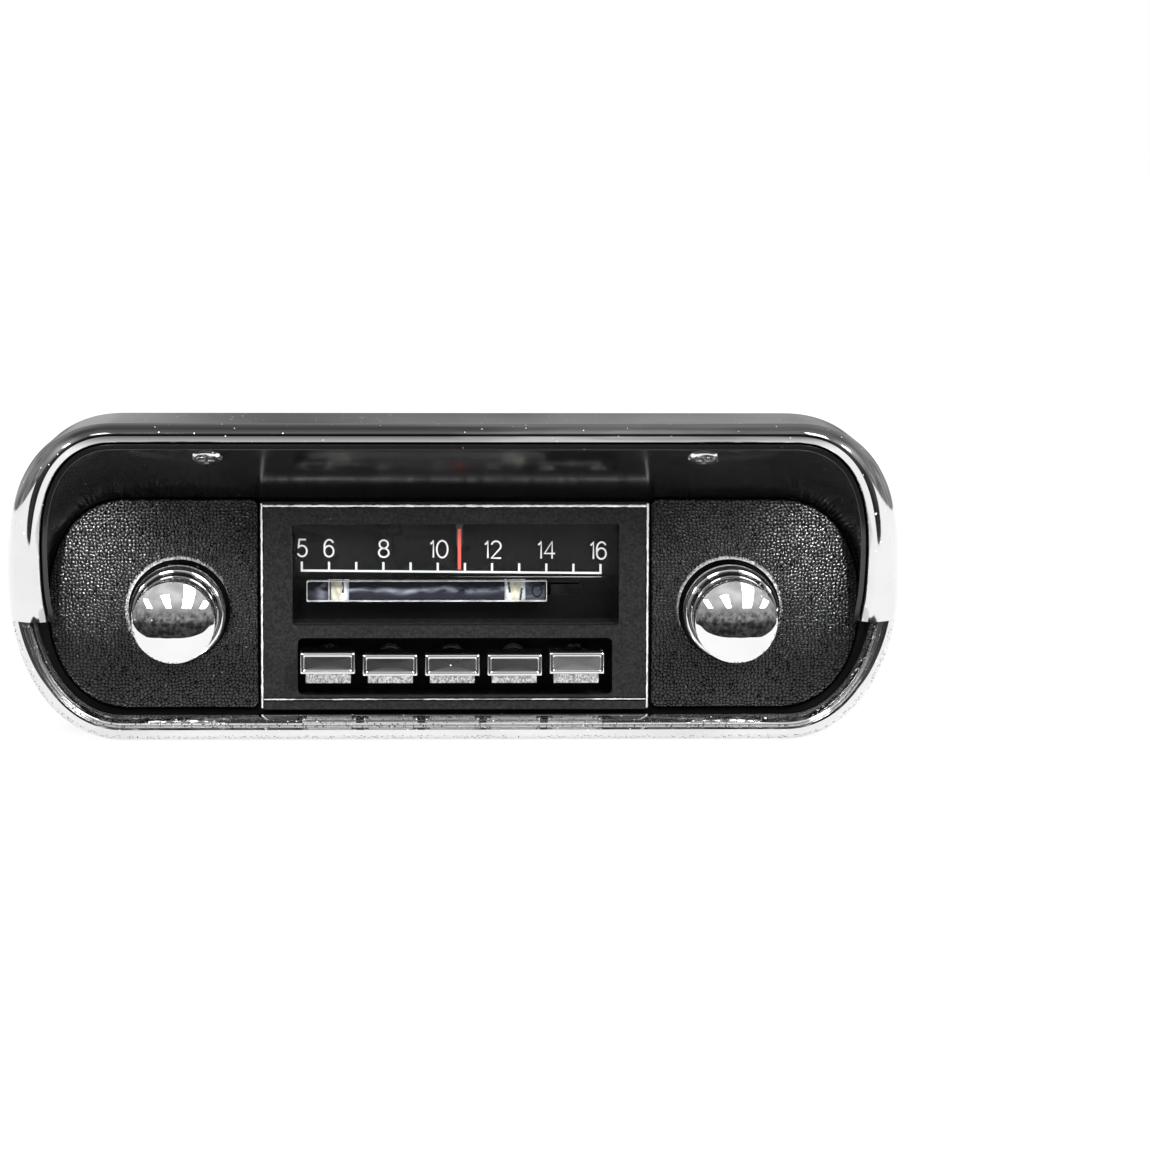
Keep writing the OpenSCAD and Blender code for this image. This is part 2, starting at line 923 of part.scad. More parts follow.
// Coils and the two rods that the carriage slides on
module coil_block() {
    color("sienna")
        on_face() {
            difference() {
                union() {
                    block([-60, -57], [37, 58.4], [base + sheet, 20]);
                    block([-9, -6], [37, 58.4], [-26 + sheet, 20]);
                    for (y = core_ys)
                        cross_rod([-57, -9], y, core_z, 6.6);
                }
                for (y = core_ys)
                    cross_rod([-61, -5], y, core_z, core_d + 0.4);
            }
            cross_rod([-6, 45], guide_y, guide_z, guide_d);
        }
}

module drive_gear() {
    color("goldenrod")
        on_face()
            translate([gear_x, 0, 0]) {
                upright(gear_y)
                    spur(gear_teeth, gear_size, 180 / gear_teeth);
                upright(hub_y)
                    spur(hub_teeth, hub_size, 0);
                rod(0, 0, 4, [32, 56]);
                rod(0, 0, 5, [gear_y[1], hub_y[0]]);
            }
}

// Bracket with the bearings of the drive gear and the end of the guide rod
module gear_bracket() {
    color("lightsteelblue")
        on_face()
            difference() {
                union() {
                    block([45, 79], [33, 33 + sheet], [base + sheet, 9]);
                    block([45, 64], [54, 54 + sheet], [base + sheet, 9]);
                    block([45, 79], [33, 58], [base + sheet, base + 2 * sheet]);
                    block([45, 45 + sheet], [48, 58], [base + sheet, 9]);
                }
                rod(gear_x, 0, 4 + 2 * running, [30, 60]);
                rod(shaft_x, 0, shaft_d + 2 * running, [30, 40]);
            }
}

// ---------------------------------------------------------------- case and electronics

// Steel tray with threaded side bosses, the openings of the front and the welded rear stud
module case() {
    color("lightgray")
        on_face()
            difference() {
                union() {
                    difference() {
                        block([-case_half, case_half], [case_front, case_back], [base, case_top - sheet]);
                        block([-case_half + sheet, case_half - sheet],
                            [case_front + sheet, case_back - sheet], [base + sheet, case_top]);
                    }
                    for (x = cover_screw_xs, y = cover_screw_ys)
                        block([x - pad, x + pad], [y - pad, y + pad],
                            [case_top - 2 * sheet, case_top - sheet]);
                    for (x = [-case_half + 3, case_half - 3], y = side_hole_ys)
                        cross_rod([x - 2.4, x + 2.4], y, side_hole_z, 10);
                    rod(stud_x, 5, 8, [case_back - sheet - 2, rear_reach]);
                }
                for (side = [-1, 1]) {
                    rod(side * shaft_x, 0, bushing_d + 0.2, [case_front - 1, case_front + 2]);
                    for (y = side_hole_ys)
                        cross_rod([side * case_half - 8, side * case_half + 8], y, side_hole_z, 4.2);
                }
                block([-55, 50], [case_front - 1, case_front + 2], [-1, 22.2]);
                block([-43, 43], [case_front - 1, case_front + 2], [-23, -5.5]);
                for (x = cover_screw_xs, y = cover_screw_ys)
                    translate([x, y, case_top - 4])
                        cylinder(d = 2.6, h = 5);
                rod(40, 5, 12.2, [case_back - 2, case_back + 1]);
                block([57, 79], [case_back - 2, case_back + 1], [-16, -4]);
            }
}

// Lid with rows of cooling slots
module top_cover() {
    color("lightgray")
        on_face()
            difference() {
                block([-case_half, case_half], [case_front, case_back], [case_top - sheet, case_top]);
                for (k = [-6:6], y = [74, 102])
                    block([k * 11 - 1.5, k * 11 + 1.5], [y, y + 20], [case_top - 3, case_top + 1]);
                for (x = cover_screw_xs, y = cover_screw_ys)
                    translate([x, y, case_top - 4])
                        cylinder(d = 3.4, h = 5);
            }
}

// Pan-head screws of the lid
module cover_screws() {
    color("silver")
        on_face()
            for (x = cover_screw_xs, y = cover_screw_ys)
                translate([x, y, case_top]) {
                    rotate_extrude()
                        polygon([[0, 0], [3, 0], [2.8, 0.9], [1.8, 1.6], [0, 1.8]]);
                    translate([0, 0, -5])
                        cylinder(d = 2.6, h = 5.4);
                }
}

// Board on four pillars, with cans, capacitors, small parts and the transformer
module circuit_board() {
    z = base + sheet + 7.6;
    on_face() {
        color("darkgoldenrod")
            block([-82, 82], [64, 125], [z - 1.6, z]);
        color("silver")
            for (x = [-77, 77], y = [69, 120])
                translate([x, y, base + sheet])
                    cylinder(d = 5, h = 6);
        color("gainsboro")
            for (k = [0:4])
                block([-70 + k * 19, -60 + k * 19], [72, 82], [z, z + 14]);
        color("steelblue")
            for (k = [0:3])
                translate([-62 + k * 17, 108, z])
                    cylinder(d = 11, h = 19);
        color("maroon")
            for (k = [0:13])
                cross_rod([-74 + k * 9, -68 + k * 9], 94, z + 1.6, 2.6);
        color("dimgray") {
            block([38, 70], [92, 116], [z, z + 26]);
            block([44, 64], [86, 92], [z + 4, z + 22]);
        }
    }
}

// Finned aluminium block on the back, with the power transistor on its flat
module heat_sink() {
    on_face() {
        color("darkgray") {
            block([-62, -6], [case_back, case_back + 3], [-26, 16]);
            for (k = [0:3], x = [-62, -25])
                block([x + k * 5.6, x + k * 5.6 + 2], [case_back + 3, case_back + 12], [-26, 16]);
        }
        color("silver") {
            rod(-34.4, -5, 12.6, [case_back + 3, case_back + 9]);
            block([-40.5, -28.3], [case_back + 3, case_back + 4.6], [-15, 5]);
        }
    }
}

// Aerial socket and the flat three-blade supply socket
module rear_connectors() {
    on_face() {
        color("gainsboro")
            difference() {
                union() {
                    rod(40, 5, 12, [case_back - 8, case_back + 11]);
                    rod(40, 5, 18, [case_back, case_back + 1.5]);
                }
                rod(40, 5, 8.4, [case_back - 4, case_back + 12]);
            }
        color([0.1, 0.1, 0.1])
            difference() {
                block([57.2, 78.8], [case_back - 10, case_back + 6], [-15.8, -4.2]);
                block([59, 77], [case_back - 7, case_back + 7], [-14, -6]);
            }
        color("goldenrod")
            for (k = [-1:1])
                block([67.6 + k * 5.6, 68.4 + k * 5.6], [case_back - 7, case_back + 3], [-12.5, -7.5]);
    }
}

hood();
lower_rim();
hood_liner();
liner_screws();
bezel_carrier();
left_side_panel();
right_side_panel();
centre_panel();
centre_trim();
dial_plate();
dial_lens();
lamp_holder();
dial_lamp();
pointer();
pointer_carriage();
pointer_rail();
dial_cord();
cord_guides();
band_bar();
band_studs();
band_slider();
preset_button_1();
preset_button_2();
preset_button_3();
preset_button_4();
preset_button_5();
preset_slide_1();
preset_slide_2();
preset_slide_3();
preset_slide_4();
preset_slide_5();
preset_spring_1();
preset_spring_2();
preset_spring_3();
preset_spring_4();
preset_spring_5();
volume_knob();
volume_shaft();
tone_ring();
tone_sleeve();
volume_control();
tuning_knob();
tuning_shaft();
fader_ring();
fader_sleeve();
fader_control();
shaft_bushings();
shaft_nuts();
tuner_frame();
treadle();
core_carriage();
coil_block();
drive_gear();
gear_bracket();
case();
top_cover();
cover_screws();
circuit_board();
heat_sink();
rear_connectors();
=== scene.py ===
import json
from math import asin, atan, copysign, cos, pi, radians, sin, sqrt

import bmesh
import bpy
import numpy as np
from mathutils import Euler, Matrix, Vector


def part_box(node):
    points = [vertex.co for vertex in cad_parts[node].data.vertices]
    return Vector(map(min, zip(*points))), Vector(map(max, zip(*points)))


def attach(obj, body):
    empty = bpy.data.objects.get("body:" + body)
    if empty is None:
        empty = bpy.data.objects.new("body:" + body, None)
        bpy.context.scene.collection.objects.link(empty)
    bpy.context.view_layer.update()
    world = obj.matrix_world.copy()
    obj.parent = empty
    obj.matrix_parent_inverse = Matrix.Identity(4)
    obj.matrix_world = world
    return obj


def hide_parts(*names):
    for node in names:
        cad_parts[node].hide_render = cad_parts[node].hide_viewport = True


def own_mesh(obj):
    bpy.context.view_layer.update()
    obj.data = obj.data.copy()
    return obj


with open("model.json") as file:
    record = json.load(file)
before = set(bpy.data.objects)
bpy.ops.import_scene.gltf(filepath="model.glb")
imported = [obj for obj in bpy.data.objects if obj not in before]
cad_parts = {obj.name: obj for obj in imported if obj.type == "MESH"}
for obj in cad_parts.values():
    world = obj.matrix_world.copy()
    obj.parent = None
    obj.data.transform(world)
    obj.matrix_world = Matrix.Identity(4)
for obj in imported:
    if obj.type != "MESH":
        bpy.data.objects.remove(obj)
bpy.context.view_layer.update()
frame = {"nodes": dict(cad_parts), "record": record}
NODES = frame["nodes"]
SCENE = bpy.context.scene
MM = 0.001

# Every shape below is in millimetres: x to the right of the middle, y behind the front of the
# face panels and z above the knob shafts. row() takes such points to the row frame.
FACE_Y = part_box("left_side_panel")[0].y
AXIS_Z = sum(corner.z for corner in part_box("volume_shaft")) / 2


def row(points):
    return np.asarray(points, float).reshape(-1, 3) * MM + np.array([0, FACE_Y, AXIS_Z])


def local(node):
    """Lowest and highest corner of a CAD node, in the same millimetres as the shapes."""
    return [np.array([c.x, c.y - FACE_Y, c.z - AXIS_Z]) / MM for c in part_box(node)]


# ---- materials

MATERIALS = {}


class Nodes:
    """A node tree that is built in short steps; each step gives an output socket."""

    def __init__(self, tree):
        self.tree = tree

    def add(self, kind, inputs=None, **settings):
        node = self.tree.nodes.new("ShaderNode" + kind)
        for key, value in settings.items():
            setattr(node, key, value)
        for key, value in (inputs or {}).items():
            if isinstance(value, bpy.types.NodeSocket):
                self.tree.links.new(value, node.inputs[key])
            else:
                node.inputs[key].default_value = value
        return node

    def remap(self, value, from_min, from_max, to_min=0.0, to_max=1.0):
        ends = {"From Min": from_min, "From Max": from_max, "To Min": to_min, "To Max": to_max}
        return self.add("MapRange", {"Value": value, **ends}).outputs[0]

    def math(self, operation, a, b=0.0):
        return self.add("Math", {0: a, 1: b}, operation=operation).outputs[0]

    def blend(self, share, a, b):
        inputs = {0: share, 6: a, 7: b}
        return self.add("Mix", inputs, data_type="RGBA").outputs[2]


class Surface(Nodes):
    """A Principled material with short chains of procedural nodes, kept under its name."""

    def __init__(self, name, **values):
        self.material = MATERIALS[name] = bpy.data.materials.new(name)
        self.material.use_nodes = True
        super().__init__(self.material.node_tree)
        self.shader = self.tree.nodes["Principled BSDF"]
        for key, value in values.items():
            self.shader.inputs[key.replace("_", " ")].default_value = value
        self.place = self.add("TexCoord").outputs["Object"]
        self.normal = None

    def noise(self, scale, detail=3.0, stretch=(1, 1, 1), distortion=0.0):
        at = self.add("Mapping", {"Vector": self.place, "Scale": stretch}).outputs[0]
        inputs = {"Vector": at, "Scale": scale, "Detail": detail, "Distortion": distortion}
        return self.add("TexNoise", inputs).outputs[0]

    def patches(self, scale, detail, low, high, to_min=0.0, to_max=1.0, stretch=(1, 1, 1)):
        """Soft patches: noise between two levels, stretched to a range."""
        return self.remap(self.noise(scale, detail, stretch), low, high, to_min, to_max)

    def cells(self, scale, feature="F1", output="Distance"):
        inputs = {"Vector": self.place, "Scale": scale}
        return self.add("TexVoronoi", inputs, feature=feature).outputs[output]

    def specks(self, scale, size, share):
        """Mask of small round spots in some of the cells of a random pattern."""
        near = self.math("LESS_THAN", self.cells(scale), size)
        colour = self.cells(scale, output="Color")
        drawn = self.add("SeparateColor", {0: colour}).outputs[0]
        return self.math("MULTIPLY", near, self.math("GREATER_THAN", drawn, 1 - share))

    def attribute(self, name):
        return self.add("Attribute", attribute_name=name).outputs["Fac"]

    def feed(self, socket, value):
        self.tree.links.new(value, self.shader.inputs[socket])

    def colour(self, value):
        self.feed("Base Color", value)

    def rough(self, value):
        self.feed("Roughness", value)

    def glow(self, colour, strength):
        self.shader.inputs["Emission Color"].default_value = colour
        self.shader.inputs["Emission Strength"].default_value = strength

    def bump(self, height, distance, strength=1.0):
        inputs = {"Height": height, "Distance": distance * MM, "Strength": strength}
        if self.normal:
            inputs["Normal"] = self.normal
        self.normal = self.add("Bump", inputs).outputs[0]
        self.feed("Normal", self.normal)


def grey(value, warmth=0.0):
    return (value * (1 + warmth), value, value * (1 - warmth), 1.0)


def chrome(name, tone=0.86, rough=(0.025, 0.09), pits=0.1, wave=0.02):
    """Chrome plating: faint haze, fine scratches and pale corrosion spots. The mesh attributes
    spotted and pitting place the clusters of spots and the dark pits; the attribute shade places
    the dark streaks, which are a painted reflection."""
    s = Surface(name)
    cluster = s.remap(s.noise(75, 3, distortion=0.5), 0.54, 0.62)
    spotted = s.attribute("spotted")
    spots = s.math("MAXIMUM", s.specks(520, 0.2, pits * 3), s.specks(1100, 0.26, pits * 4))
    few = s.math("MAXIMUM", s.specks(420, 0.13, pits), s.specks(900, 0.16, pits))
    pit = s.math("MAXIMUM", few, s.math("MULTIPLY", s.math("MULTIPLY", cluster, spotted), spots))
    streaks = s.math("MULTIPLY", s.patches(60, 4, 0.35, 0.65, stretch=(0.08, 1, 1)), spotted)
    shade = s.patches(110, 4, 0.3, 0.55, stretch=(0.1, 1, 1))
    clean = s.blend(s.patches(60, 4, 0.3, 0.7), grey(tone), grey(tone * 0.93))
    clean = s.blend(streaks, clean, grey(tone * 0.6, 0.03))
    # Painted reflection: dark streaks painted into the colour where the mesh attribute asks for
    # them
    clean = s.blend(s.math("MULTIPLY", shade, s.attribute("shade")), clean, grey(tone * 0.2))
    pitted = s.math("MULTIPLY", s.attribute("pitting"), s.specks(1500, 0.34, 0.55))
    worn = s.blend(pitted, clean, grey(0.1, 0.05))
    s.colour(s.blend(pit, worn, grey(0.86, 0.01)))
    s.feed("Metallic", s.remap(pit, 0, 1, 1.0, 0.25))
    gloss = s.patches(35, 5, 0.35, 0.7, *rough)
    dull = s.math("MAXIMUM", pit, pitted)
    s.rough(s.math("MAXIMUM", gloss, s.math("MULTIPLY", dull, 0.5)))
    s.bump(s.noise(28, 2), wave, 0.6)
    s.bump(s.noise(900, 2, (0.06, 1, 1)), 0.002, 0.35)
    s.bump(s.math("SUBTRACT", pit, pitted), 0.04, 0.6)


def plated_steel(name, tone, rough=(0.28, 0.45), warmth=0.0, along=(0.05, 1, 1), rust=0.0):
    """Rolled or plated steel: grain along one way, stains and a little rust."""
    s = Surface(name, Metallic=1.0)
    grain = s.noise(1600, 3, along)
    stain = s.remap(s.noise(38, 5, distortion=1.0), 0.42, 0.72)
    base = s.blend(stain, grey(tone, warmth), grey(tone * 0.72, warmth + 0.02))
    if rust:
        spot = s.patches(120, 6, 0.64, 0.72, 0.0, rust)
        base = s.blend(spot, base, (0.16, 0.075, 0.035, 1))
        s.feed("Metallic", s.remap(spot, 0, 1, 1.0, 0.2))
    s.colour(base)
    s.rough(s.remap(s.math("ADD", grain, stain), 0.4, 1.5, *rough))
    s.bump(grain, 0.006, 0.5)


def plastic(name, tone, rough, grain, depth, warmth=0.0, dust=0.0, shine=0.5, glow=0.0):
    """Moulded plastic or paint with a fine texture, a few dust specks and, where glow is given, a
    painted glow.
    """
    s = Surface(name, Specular_IOR_Level=shine)
    s.glow(grey(1.0), glow)
    base = s.blend(s.patches(70, 4, 0.35, 0.7), grey(tone, warmth), grey(tone * 1.35, warmth))
    if dust:
        base = s.blend(s.specks(700, 0.1, dust), base, grey(0.42))
    s.colour(base)
    s.rough(s.patches(50, 4, 0.35, 0.7, *rough))
    s.bump(s.noise(grain, 3), depth, 0.6)


def clear(name, ior, tint, rub=0.05, wave=0.004):
    """Clear plastic or glass with faint rub marks."""
    s = Surface(name, Transmission_Weight=1.0, IOR=ior, Base_Color=tint)
    s.rough(s.patches(90, 4, 0.45, 0.75, 0.0, rub))
    s.bump(s.noise(120, 3), wave, 0.3)


# Black vinyl pressed with a pebble grain; the pebbles are in the mesh. Painted shade: the grooves
# between them are darker and have almost no specular
s = Surface("grained_vinyl")
top = s.blend(s.patches(45, 4, 0.35, 0.7), grey(0.009), grey(0.02))
pebble = s.remap(s.attribute("pebble"), 0.55, 1.0)
base = s.blend(pebble, grey(0.001), top)
s.feed("Specular IOR Level", s.remap(pebble, 0, 1, 0.01, 0.55))
lint = s.specks(480, 0.09, 0.1)
base = s.blend(s.math("MULTIPLY", lint, 0.5), base, grey(0.4))
pale_flecks = s.attribute("pale_flecks")
s.colour(s.blend(pale_flecks, base, grey(0.8)))
s.rough(s.patches(300, 3, 0.3, 0.7, 0.18, 0.28))
s.bump(s.noise(5200, 2), 0.004, 0.4)

# Dark moulded panel with a fine, flat leather grain
s = Surface("centre_plastic", Specular_IOR_Level=0.22)
grain = s.patches(1500, 3, 0.36, 0.64)
fine = s.math("MULTIPLY", grain, s.patches(55, 5, 0.3, 0.7, 0.75, 1.0))
base = s.blend(fine, grey(0.004), grey(0.018))
s.colour(s.blend(s.specks(650, 0.07, 0.05), base, grey(0.35)))
s.rough(s.patches(400, 3, 0.3, 0.7, 0.42, 0.6))
s.bump(s.cells(1500, "SMOOTH_F1"), 0.05, 0.7)
s.bump(s.noise(4200, 2), 0.012, 0.5)

# Deep gloss black with wiping marks
s = Surface("liner_gloss", Specular_IOR_Level=0.55)
base = s.blend(s.specks(520, 0.07, 0.12), grey(0.006), grey(0.2))
s.colour(base)
s.rough(s.remap(s.noise(22, 5, (1, 4, 1)), 0.35, 0.75, 0.12, 0.22))
s.bump(s.noise(30, 2), 0.03, 0.35)
s.bump(s.noise(1100, 3), 0.003, 0.4)

# Plated steel tab with whitish, speckled corrosion
s = Surface("slide_steel")
patch = s.remap(s.noise(3000, 4, (1, 1, 0.7)), 0.4, 0.6)
s.colour(s.blend(patch, grey(0.95), grey(0.4)))
s.feed("Metallic", s.remap(patch, 0, 1, 0.35, 0.95))
s.rough(s.remap(patch, 0, 1, 0.55, 0.3))
s.bump(patch, 0.03, 0.6)

# Thin bright edging whose plating is worn to a pale, uneven surface, with a faint painted glow that
# keeps it bright
s = Surface("trim_chrome", Metallic=0.45)
wear = s.patches(420, 5, 0.35, 0.65)
s.colour(s.blend(wear, grey(0.55), grey(0.95)))
s.rough(s.remap(wear, 0, 1, 0.25, 0.5))
s.glow(grey(1.0), 0.16)
s.bump(wear, 0.05, 0.6)

# Red needle with a faint painted glow
s = Surface("red_plastic", Specular_IOR_Level=0.4)
s.glow((1.0, 0.2, 0.14, 1), 0.1)
s.colour(s.blend(s.noise(500, 3), (0.42, 0.05, 0.035, 1), (0.52, 0.07, 0.05, 1)))
s.rough(s.patches(900, 2, 0.3, 0.7, 0.35, 0.5))

# Thin clear window over the dial
s = Surface("dial_lens", Transmission_Weight=1.0, IOR=1.06, Base_Color=grey(1.0))
s.rough(s.patches(90, 4, 0.5, 0.75, 0.0, 0.02))

# Dark filling of the clear bar, with a faint painted glow, its lower half painted lighter and a
# pale painted sheen where the mesh attribute has one
s = Surface("bar_core", Specular_IOR_Level=0.06)
s.glow((0.8, 0.85, 1.0, 1), 0.006)
swirl_noise = s.noise(330, 6, (0.3, 1, 1), 1.6)
dark = s.blend(s.attribute("low"), (0.002, 0.002, 0.004, 1), (0.015, 0.015, 0.021, 1))
painted_sheen = s.math("MULTIPLY", s.attribute("painted_sheen"), s.remap(swirl_noise, 0.36, 0.62))
s.colour(s.blend(painted_sheen, dark, (0.24, 0.25, 0.29, 1)))
s.rough(s.remap(swirl_noise, 0.3, 0.7, 0.15, 0.4))

# Edges of the clear bar: painted highlights, pale and patchy, where the mesh attribute lit says so,
# and a faint painted glow
s = Surface("bar_edge", Specular_IOR_Level=0.6)
s.glow((0.9, 0.95, 1.0, 1), 0.03)
# The pale, patchy colour here is a painted highlight
worn = s.blend(s.patches(300, 4, 0.4, 0.6), grey(0.4), grey(0.9))
s.colour(s.blend(s.attribute("lit"), grey(0.14, 0.04), worn))
s.rough(s.patches(500, 3, 0.3, 0.7, 0.15, 0.4))

# Yellowed plastic of the band studs; on their cut fronts the near-white is a painted highlight and
# the dark a painted shade
s = Surface("stud_cream", Specular_IOR_Level=0.5)
tone = s.blend(s.patches(600, 4, 0.4, 0.6), (0.42, 0.39, 0.27, 1), (0.56, 0.54, 0.41, 1))
cut = s.blend(s.attribute("painted_highlight"), tone, (0.85, 0.87, 0.9, 1))
s.colour(s.blend(s.attribute("dark"), cut, grey(0.006)))
s.rough(s.patches(500, 3, 0.3, 0.7, 0.2, 0.4))

# Turned brass, slightly tarnished
s = Surface("brass", Metallic=1.0)
tarnish = s.patches(80, 5, 0.35, 0.7)
s.colour(s.blend(tarnish, (0.72, 0.52, 0.2, 1), (0.5, 0.36, 0.15, 1)))
s.rough(s.patches(700, 3, 0.3, 0.7, 0.22, 0.4))
s.bump(s.noise(2400, 2), 0.006, 0.5)

ALONG_Y = (1, 0.06, 0.06)
# Near black for parts seen only through openings: painted shade
plastic("black_steel", 0.003, (0.45, 0.6), 1800, 0.02, shine=0.12)
# The printed marks glow faintly: painted light
plastic("dial_marks", 0.42, (0.4, 0.55), 2600, 0.006, glow=0.17)
clear("bar_clear", 1.2, (0.76, 0.78, 0.82, 1), 0.04, 0.002)
chrome("chrome_casting", 0.72, (0.04, 0.12), 0.05, 0.03)
chrome("screw_chrome", 0.8, (0.08, 0.2), 0.1, 0.01)
plastic("dial_black", 0.004, (0.25, 0.4), 1400, 0.004, dust=0.02, shine=0.1)
clear("clear_plastic", 1.49, (0.94, 0.96, 0.98, 1))
clear("lamp_glass", 1.49, (1, 0.97, 0.9, 1))
plastic("black_plastic", 0.012, (0.4, 0.55), 1500, 0.01)
chrome("button_chrome", 0.8, (0.09, 0.18), 0.03, 0.004)
chrome("knob_chrome", 0.78, (0.008, 0.03), 0.02, 0.004)
plated_steel("bright_steel", 0.62, (0.18, 0.35))
plated_steel("case_steel", 0.3, (0.45, 0.62), 0.015, ALONG_Y, 0.5)
plated_steel("spring_steel", 0.32, (0.25, 0.4))
plastic("insulator", 0.02, (0.45, 0.6), 1300, 0.02, 0.3)
plastic("cord_fabric", 0.4, (0.7, 0.85), 3500, 0.08, 0.2)
plastic("ferrite", 0.045, (0.5, 0.7), 2200, 0.02)
plastic("board", 0.14, (0.35, 0.5), 1200, 0.01, 0.5)
plated_steel("aluminium", 0.5, (0.35, 0.5), 0.0, (1, 0.05, 0.05))
plastic("connector", 0.015, (0.35, 0.5), 1500, 0.01)

SLOT_OF_NODE = {part["node"]: part["material_slot"] for part in frame["record"]["subparts"]}
BODY_OF_NODE = {
    node: body
    for body, members in frame["record"]["behaviour"]["bodies"].items()
    for node in members
}

# ---- shapes in code


def mix(a, b, t):
    return a + (b - a) * t


def rounded(points, radius, steps=4, closed=False):
    """A polyline with its corners rounded; each corner gives steps + 1 points."""
    points = [np.asarray(p, float) for p in points]
    n = len(points)
    out = []
    for i, p in enumerate(points):
        if not closed and i in (0, n - 1):
            out.append(p)
            continue
        r = radius[i] if isinstance(radius, (list, tuple)) else radius
        before, after = points[i - 1] - p, points[(i + 1) % n] - p
        cut = min(r, 0.45 * np.linalg.norm(before), 0.45 * np.linalg.norm(after))
        start = p + before / np.linalg.norm(before) * cut
        end = p + after / np.linalg.norm(after) * cut
        for k in range(steps + 1):
            t = k / steps
            out.append((1 - t) ** 2 * start + 2 * t * (1 - t) * p + t * t * end)
    return out


def sweep(rings, cap=True, around=True):
    """Points and faces of a skin through rings that all have the same count."""
    m, n = len(rings), len(rings[0])
    points = np.array([p for ring in rings for p in ring], float)
    last = n if around else n - 1
    faces = [
        (i * n + j, i * n + (j + 1) % n, (i + 1) * n + (j + 1) % n, (i + 1) * n + j)
        for i in range(m - 1)
        for j in range(last)
    ]
    if cap:
        faces.append(tuple(range(n - 1, -1, -1)))
        faces.append(tuple((m - 1) * n + j for j in range(n)))
    return points, faces


def turned(profile, x, segments=144):
    """Points and faces of a profile of (radius, forward) turned about a shaft along Y."""
    rings = []
    for k in range(segments + 1):
        a = 2 * pi * k / segments
        rings.append([(x + r * cos(a), -f, r * sin(a)) for r, f in profile])
    return sweep(rings, cap=False, around=False)


def joined(parts):
    """Several (points, faces) as one."""
    points, faces, base = [], [], 0
    for p, f in parts:
        points.append(np.asarray(p, float).reshape(-1, 3))
        faces += [tuple(base + i for i in face) for face in f]
        base += len(points[-1])
    return np.vstack(points), faces


def circle(radius, segments, x=0.0, z=0.0):
    """Points of a circle as pairs."""
    turn = [2 * pi * k / segments for k in range(segments)]
    return [(x + radius * cos(a), z + radius * sin(a)) for a in turn]


def at_depth(outline, y):
    """Pairs of x and z as points at one depth."""
    return [(p[0], y, p[1]) for p in outline]


def corners(x, z, inset=0.0):
    """Corners of a rectangle as pairs, set in from its sides."""
    left, right, bottom, top = x[0] + inset, x[1] - inset, z[0] + inset, z[1] - inset
    return [(left, bottom), (right, bottom), (right, top), (left, top)]


def front_corners(low, high, inset):
    """Corners of a box seen from the front, set in from its sides."""
    return corners((low[0], high[0]), (low[2], high[2]), inset)


def ramp(value, start, end):
    """0 at the start and 1 at the end, straight between them."""
    return np.clip((value - start) / (end - start), 0, 1)


def piece(name, shape, like, material=None, sharp=32, extra=False):
    """A mesh piece that takes the place of a CAD node, or an extra piece on the same body."""
    points, faces = shape
    mesh = bpy.data.meshes.new(name)
    mesh.from_pydata([tuple(p) for p in row(points)], [], faces)
    shaped = bmesh.new()
    shaped.from_mesh(mesh)
    bmesh.ops.remove_doubles(shaped, verts=shaped.verts, dist=1e-7)
    bmesh.ops.recalc_face_normals(shaped, faces=shaped.faces)
    shaped.to_mesh(mesh)
    shaped.free()
    mesh.shade_smooth()
    mesh.set_sharp_from_angle(angle=radians(sharp))
    mesh.materials.append(MATERIALS[material or SLOT_OF_NODE[like]])
    made = bpy.data.objects.new(name, mesh)
    SCENE.collection.objects.link(made)
    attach(made, BODY_OF_NODE[like])
    if not extra:
        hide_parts(like)
    return made


def centre_x(node):
    return (local(node)[0][0] + local(node)[1][0]) / 2


def mark(made, name, values):
    """A value for each point of a piece, which its material reads as an attribute."""
    held = made.data.attributes.new(name, "FLOAT", "POINT")
    held.data.foreach_set("value", np.asarray(values, np.float32))


def places(made):
    """The points of a piece in the millimetres of the shapes."""
    co = np.array([v.co[:] for v in made.data.vertices])
    return (co - [0, FACE_Y, AXIS_Z]) / MM


# ---- surround

BEZEL_TOP = local("hood")[1][2]
BEZEL_DROP = -local("lower_rim")[0][2]
HALF_W = local("hood")[1][0]
HOOD_REACH = -local("hood")[0][1]
SKIRT_BACK = local("hood")[1][1]
SEAM_Z = local("hood")[0][2]
SEAM_REACH = 10.0
END_REACH = 30.5
WIDEST_Z = 10.0
CAST_WALL = 2.6
UPPER_POWER, LOWER_POWER = 0.87, 0.93
NOSE_IN, NOSE_BACK = 2.3, 1.5
LINER_GAP, LINER_IN, LINER_BACK = 0.3, 1.8, 2.8
PANEL_HALF_W = local("right_side_panel")[1][0]
PANEL_TOP = local("right_side_panel")[1][2]
PANEL_DROP = -local("right_side_panel")[0][2]
PANEL_T = local("right_side_panel")[1][1]
PANEL_END = 21.8
PANEL_POWER = 0.9
PANEL_MID = (PANEL_TOP - PANEL_DROP) / 2
PANEL_HALF_H = (PANEL_TOP + PANEL_DROP) / 2
STRAIGHT = HALF_W - END_REACH
PANEL_STRAIGHT = PANEL_HALF_W - PANEL_END
RIGHT_ANGLE = pi / 2


def rim_x(a, d):
    power = UPPER_POWER if a > 0 else LOWER_POWER
    return STRAIGHT + max(0.0, cos(a)) ** power * (END_REACH - d)


def rim_z(a, d):
    if a > 0:
        return WIDEST_Z + sin(a) ** UPPER_POWER * (BEZEL_TOP - WIDEST_Z - d)
    return WIDEST_Z - (-sin(a)) ** LOWER_POWER * (BEZEL_DROP + WIDEST_Z - d)


